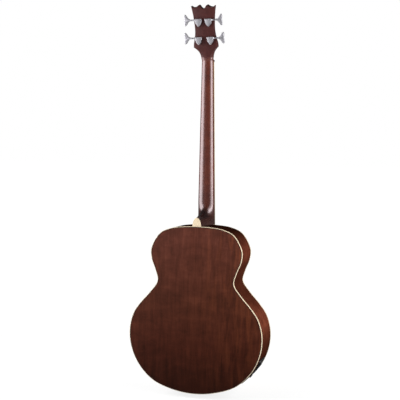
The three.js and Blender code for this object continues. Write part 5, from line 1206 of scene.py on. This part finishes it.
def make_key(number, side, machine):
    axis = (0, MACHINE_AXIS_Y, WORM_AXIS_TO_POST)
    out = machine @ axis_frame(axis, (side, 0, 0), (0, 0, 1))
    profile = raised(KEY_AT_WORM, HOUSING_WALL + GAP - HOUSING_WIDTH / 2)
    profile += raised(KEY_AT_COLLAR, HOUSING_WIDTH / 2 + GAP)
    profile += raised(KEY_AT_STEM, KEY_REACH - BUTTON_WIDTH)
    helix = []
    for turn in np.arange(WORM_TURNS * TURN_STEPS + 1) / TURN_STEPS:
        c, s = polar(WORM_RADIUS, [turn * 2 * math.pi])[0]
        helix.append(out @ Vector((c, s, WORM_LENGTH * (turn / WORM_TURNS - 0.5))))
    half = BUTTON_HEIGHT / 2
    right = [(KEY_REACH - BUTTON_WIDTH * back, half * up) for back, up in spline(BUTTON_SHARES, 5)]
    outline = np.array(right + [(x, -z) for x, z in right[:0:-1]])
    blade = prism(outline, edge_profile(-BUTTON_THICKNESS / 2, BUTTON_THICKNESS / 2, BUTTON_BEVEL, 5))
    button = moved(blade, machine @ Matrix.Translation(axis) @ Matrix.Diagonal((side, 1, 1, 1)))
    shell = merged(turned(profile, 32, out), tube(helix, THREAD_RADIUS, 8), button)
    make(f"tuner_{number}_button", shell, "chrome", f"tuner_{number}_key", f"key_{number}")


# End pin, from the face of its head up
END_PIN_PROFILE = ((0.1, 0), (5.6, 0), (6.5, 0.3), (7, 1.1), (7, 2.1), (6.4, 3.2), (5.2, 4.2), (4.5, 5.4))
END_PIN_PROFILE += ((4.5, 7.4), (5.0, 9), (6.2, 10.2), (6.5, 10.9), (6.5, 13.7), (4.7, 13.7), (4.7, 35))
END_PIN_PROFILE += ((3, 37.4), (0.1, 37.4))


def jack_frame(along):
    """Place on the jack plate: z out of the side, x along the rim, y across its depth."""
    out = np.array((JACK_OUT[0], 0, JACK_OUT[1]))
    side = np.cross((0, 1, 0), out)
    return axis_frame(np.array((JACK[0], JACK_Y, JACK[1])) + side * along, out, side)


def plate_ring(inset, rise):
    """Rounded rectangle bent along the rim, inset from the plate's edge and raised from the side."""
    length, depth = JACK_PLATE_LENGTH / 2 - inset, JACK_PLATE_DEPTH / 2 - inset
    corner = max(JACK_PLATE_CORNER - inset, JACK_PLATE_LEAST_CORNER)
    edge = rounded(length, -depth, depth, corner, JACK_PLATE_CORNER_STEPS)
    ring = []
    for k, p in enumerate(edge):
        q = edge[(k + 1) % len(edge)]
        pieces = 1 if (k + 1) % (JACK_PLATE_CORNER_STEPS + 1) else JACK_PLATE_SIDE_STEPS
        for along, across in (p + (q - p) * t / pieces for t in range(pieces)):
            place, normal = on_side(along)
            x, z = place + normal * rise
            ring.append((x, JACK_Y + across, z))
    return ring


def make_jack_plate():
    face = JACK_PLATE_FACE
    outer = [(0, JACK_PLATE_LIFT)] + [(inset, face - drop) for inset, drop in JACK_PLATE_EDGE]
    outer += [(inset, face) for inset in JACK_PLATE_INSETS]
    inner = [(inset, JACK_PLATE_LIFT) for inset in JACK_PLATE_INSETS[::-1]]
    plate = loft([plate_ring(*at) for at in outer + inner], closed=True)
    make("jack_plate_shell", plate, "black", "jack_plate")
    heads = []
    for along, across in ((-1, -1), (-1, 1), (1, -1), (1, 1)):
        (x, z), (nx, nz) = on_side((JACK_PLATE_LENGTH / 2 - JACK_SCREW_INSET) * along)
        y = JACK_Y + (JACK_PLATE_DEPTH / 2 - JACK_SCREW_INSET) * across
        place = axis_frame((x + nx * face, y, z + nz * face), (nx, 0, nz), (0, 1, 0))
        heads.append(screw(*JACK_SCREW_SIZE, place))
    make("jack_plate_screws", merged(*heads), "chrome")

    jack = jack_frame(-SOCKET_SPACING / 2)
    barrel = turned([*JACK_BARREL, *raised(JACK_RIM, face)], 48, jack, ring=True)
    make("jack_barrel", merged(barrel, hex_nut(face, jack)), "dark_nickel", "output_jack")

    socket = jack_frame(SOCKET_SPACING / 2)
    shell = turned([*SOCKET_SHELL, *raised(SOCKET_RIM, face)], 56, socket)
    make("socket_shell", shell, "black", "xlr_socket")
    pins = []
    for x, y in polar(SOCKET_PIN_CIRCLE, np.radians((90, 210, 330))):
        pins.append(turned(SOCKET_PIN, 16, socket @ Matrix.Translation((x, y, face + SOCKET_PIN_START))))
    make("socket_pins", merged(*pins), "steel")


def hex_nut(low, matrix):
    """Six-sided nut with rounded upper corners."""
    high = low + JACK_NUT_HEIGHT
    sixth = math.pi / 3
    flat = JACK_NUT_WIDTH / 2 * math.cos(sixth / 2)
    rings = []
    for a in full_turn(48):
        r = flat / math.cos((a + sixth / 2) % sixth - sixth / 2)
        top = [(r, high - 2 * JACK_NUT_EDGE), (min(r, flat + JACK_NUT_EDGE), high)]
        section = [(JACK_NUT_BORE, low), (r, low), *top, (JACK_NUT_BORE, high)]
        rings.append([(q * math.cos(a), q * math.sin(a), h) for q, h in section])
    return moved(loft(rings, closed=True), matrix)


make_back()
make_soundboard()
make_bindings()
make_sides()
make_linings()
make_neck()
make_head_fittings()
make_heel_cap()
make_fingerboard()
make_bridge()
for post in POSTS:
    make_string(*post)
for number, (side, across, along, _) in enumerate(POSTS, 1):
    machine = HEAD @ Matrix.Translation((side * across, 0, along))
    make_post(number, machine)
    make_housing(number, machine)
    make_key(number, side, machine)
make("strap_pin", turned(END_PIN_PROFILE, 48), "black", "end_pin")
make_jack_plate()

# Materials of the CAD nodes that stay; the rest are wood inside the body
NODE_SHADES = {"fingerboard_binding": "board_cream", "nut": "nut", "truss_rod": "steel", "pickup": "steel"}
for name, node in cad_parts.items():
    for slot in node.material_slots:
        slot.material = SHADES[NODE_SHADES.get(name, "brace")]

# Floor, light and camera, in metres: brightness of the floor and of the air above it in reflections
FLOOR_GLOSS = 0.15
GLOSS_LEVEL = 0.08
OVERHEAD_GLOSS_LEVEL = 0.05
OVERHEAD_REACH = (0.1, 0.6)
AMBIENT = 0.12
FLOOR_GLOW = 1.02
FLOOR_GLOW_NEAR_SHARE = 0.8
FLOOR_GLOW_REACH = (0.3, 1.2)
FLOOR_REACH = 30
FLOOR_DROP = 0.001
FLOOR_CELLS = 4
WHITE = (1, 1, 1, 1)


def floor_material():
    made = shader("pale_floor")
    path = made.add("ShaderNodeLightPath").outputs
    cloud = made.noise(made.place(), 3, 2)
    pale = made.mix(cloud, 0xF6F6F6, 0xF0F0F0)
    reflected = made.math("MAXIMUM", path["Is Diffuse Ray"], path["Is Glossy Ray"])
    made.finish(made.mix(reflected, pale, 0x8C8C8C), 0.9, cloud, 0.02, 0.0002, Specular_IOR_Level=0.0)
    in_gloss = made.math("MULTIPLY", path["Is Glossy Ray"], FLOOR_GLOSS)
    seen = made.math("ADD", path["Is Camera Ray"], in_gloss, clamp=True)
    seen = made.math("ADD", seen, path["Is Transmission Ray"], clamp=True)
    away = made.add("ShaderNodeVectorMath", {0: made.place()}, operation="LENGTH").outputs["Value"]
    share = made.math("MULTIPLY", seen, made.span(away, FLOOR_GLOW_NEAR_SHARE, 1, *FLOOR_GLOW_REACH))
    glow = made.add("ShaderNodeEmission", {"Color": WHITE, "Strength": FLOOR_GLOW})
    inputs = {0: share, 1: made.surface.outputs[0], 2: glow.outputs[0]}
    made.feed(made.output.inputs["Surface"], made.add("ShaderNodeMixShader", inputs).outputs[0])
    return made.owner


def make_floor():
    grid = np.linspace(-FLOOR_REACH, FLOOR_REACH, FLOOR_CELLS + 1)
    points = [(x, y, -FLOOR_DROP) for x in grid for y in grid]
    row = FLOOR_CELLS + 1
    starts = [i * row + j for i in range(FLOOR_CELLS) for j in range(FLOOR_CELLS)]
    mesh = bpy.data.meshes.new("floor")
    mesh.from_pydata(points, [], [(at, at + row, at + row + 1, at + 1) for at in starts])
    mesh.materials.append(floor_material())
    floor = placed("floor", mesh)


CAMERA_TURN = math.radians(18.22)
CAMERA_PITCH = math.radians(3.39)
CAMERA_ROLL = math.radians(0.57)
CAMERA_TARGET = (0, -0.058, 0.5457)
CAMERA_OFFSET = (-0.0204444, 0.0760104, 3.122)
CAMERA_LENS = 86.72
CAMERA_SENSOR = 36
CAMERA_CLIP_END = 100


def make_camera():
    turns = ((math.pi + CAMERA_TURN, "Z"), (math.pi / 2 - CAMERA_PITCH, "X"), (CAMERA_ROLL, "Z"))
    matrix = Matrix.Translation(CAMERA_TARGET)
    for angle, axis in turns:
        matrix = matrix @ Matrix.Rotation(angle, 4, axis)
    camera = placed("camera", bpy.data.cameras.new("camera"))
    camera.data.lens = CAMERA_LENS
    camera.data.sensor_width = CAMERA_SENSOR
    camera.data.clip_end = CAMERA_CLIP_END
    camera.matrix_world = matrix @ Matrix.Translation(CAMERA_OFFSET)
    bpy.context.scene.camera = camera


# Lamps: name, degrees to the right of the camera, distance, height, width, tall, strength, seen in gloss
LAMPS = (
    ("left_panel", -84, 2.0, 1.05, 2.0, 1.9, 6.2, True),
    ("right_panel", 62, 2.0, 1.05, 1.1, 1.9, 8.2, True),
    ("right_fill", 35, 2.0, 1.05, 0.6, 1.9, 3.6, True),
    ("front_panel", -45, 1.2, 1.0, 0.5, 0.5, 3.7, False),
    ("far_panel", 180, 3.2, 1.4, 2.4, 1.6, 5.6, False),
)
LAMP_AIM = Vector((0, 0, 0.55))


def make_lamps():
    for name, degrees, distance, height, width, tall, strength, in_gloss in LAMPS:
        lamp = bpy.data.lights.new(name, "AREA")
        lamp.shape = "RECTANGLE"
        lamp.size, lamp.size_y = width, tall
        lamp.energy = strength * width * tall * math.pi
        angle = math.radians(degrees) + CAMERA_TURN
        place = Vector((-math.sin(angle) * distance, math.cos(angle) * distance, height))
        light = placed(name, lamp)
        light.location = place
        light.rotation_mode = "QUATERNION"
        light.rotation_quaternion = (LAMP_AIM - place).to_track_quat("-Z", "Y")
        light.visible_camera = False
        light.visible_glossy = in_gloss


def make_world():
    world = bpy.data.worlds.new("studio")
    bpy.context.scene.world = world
    made = Shader(world, "ShaderNodeBackground", "ShaderNodeOutputWorld")
    path = made.add("ShaderNodeLightPath").outputs
    height = made.axis(made.add("ShaderNodeTexCoord").outputs["Generated"], 2)
    level = made.span(height, GLOSS_LEVEL, OVERHEAD_GLOSS_LEVEL, *OVERHEAD_REACH)
    glossy = made.math("MULTIPLY", path["Is Glossy Ray"], level)
    through = made.math("MAXIMUM", path["Is Camera Ray"], path["Is Transmission Ray"])
    diffuse = made.math("MULTIPLY", path["Is Diffuse Ray"], AMBIENT)
    made.feed(made.surface.inputs["Color"], WHITE)
    strength = made.math("MAXIMUM", made.math("MAXIMUM", through, glossy), diffuse)
    made.feed(made.surface.inputs["Strength"], strength)


make_floor()
make_camera()
make_lamps()
make_world()
bpy.context.scene.view_settings.view_transform = "Standard"
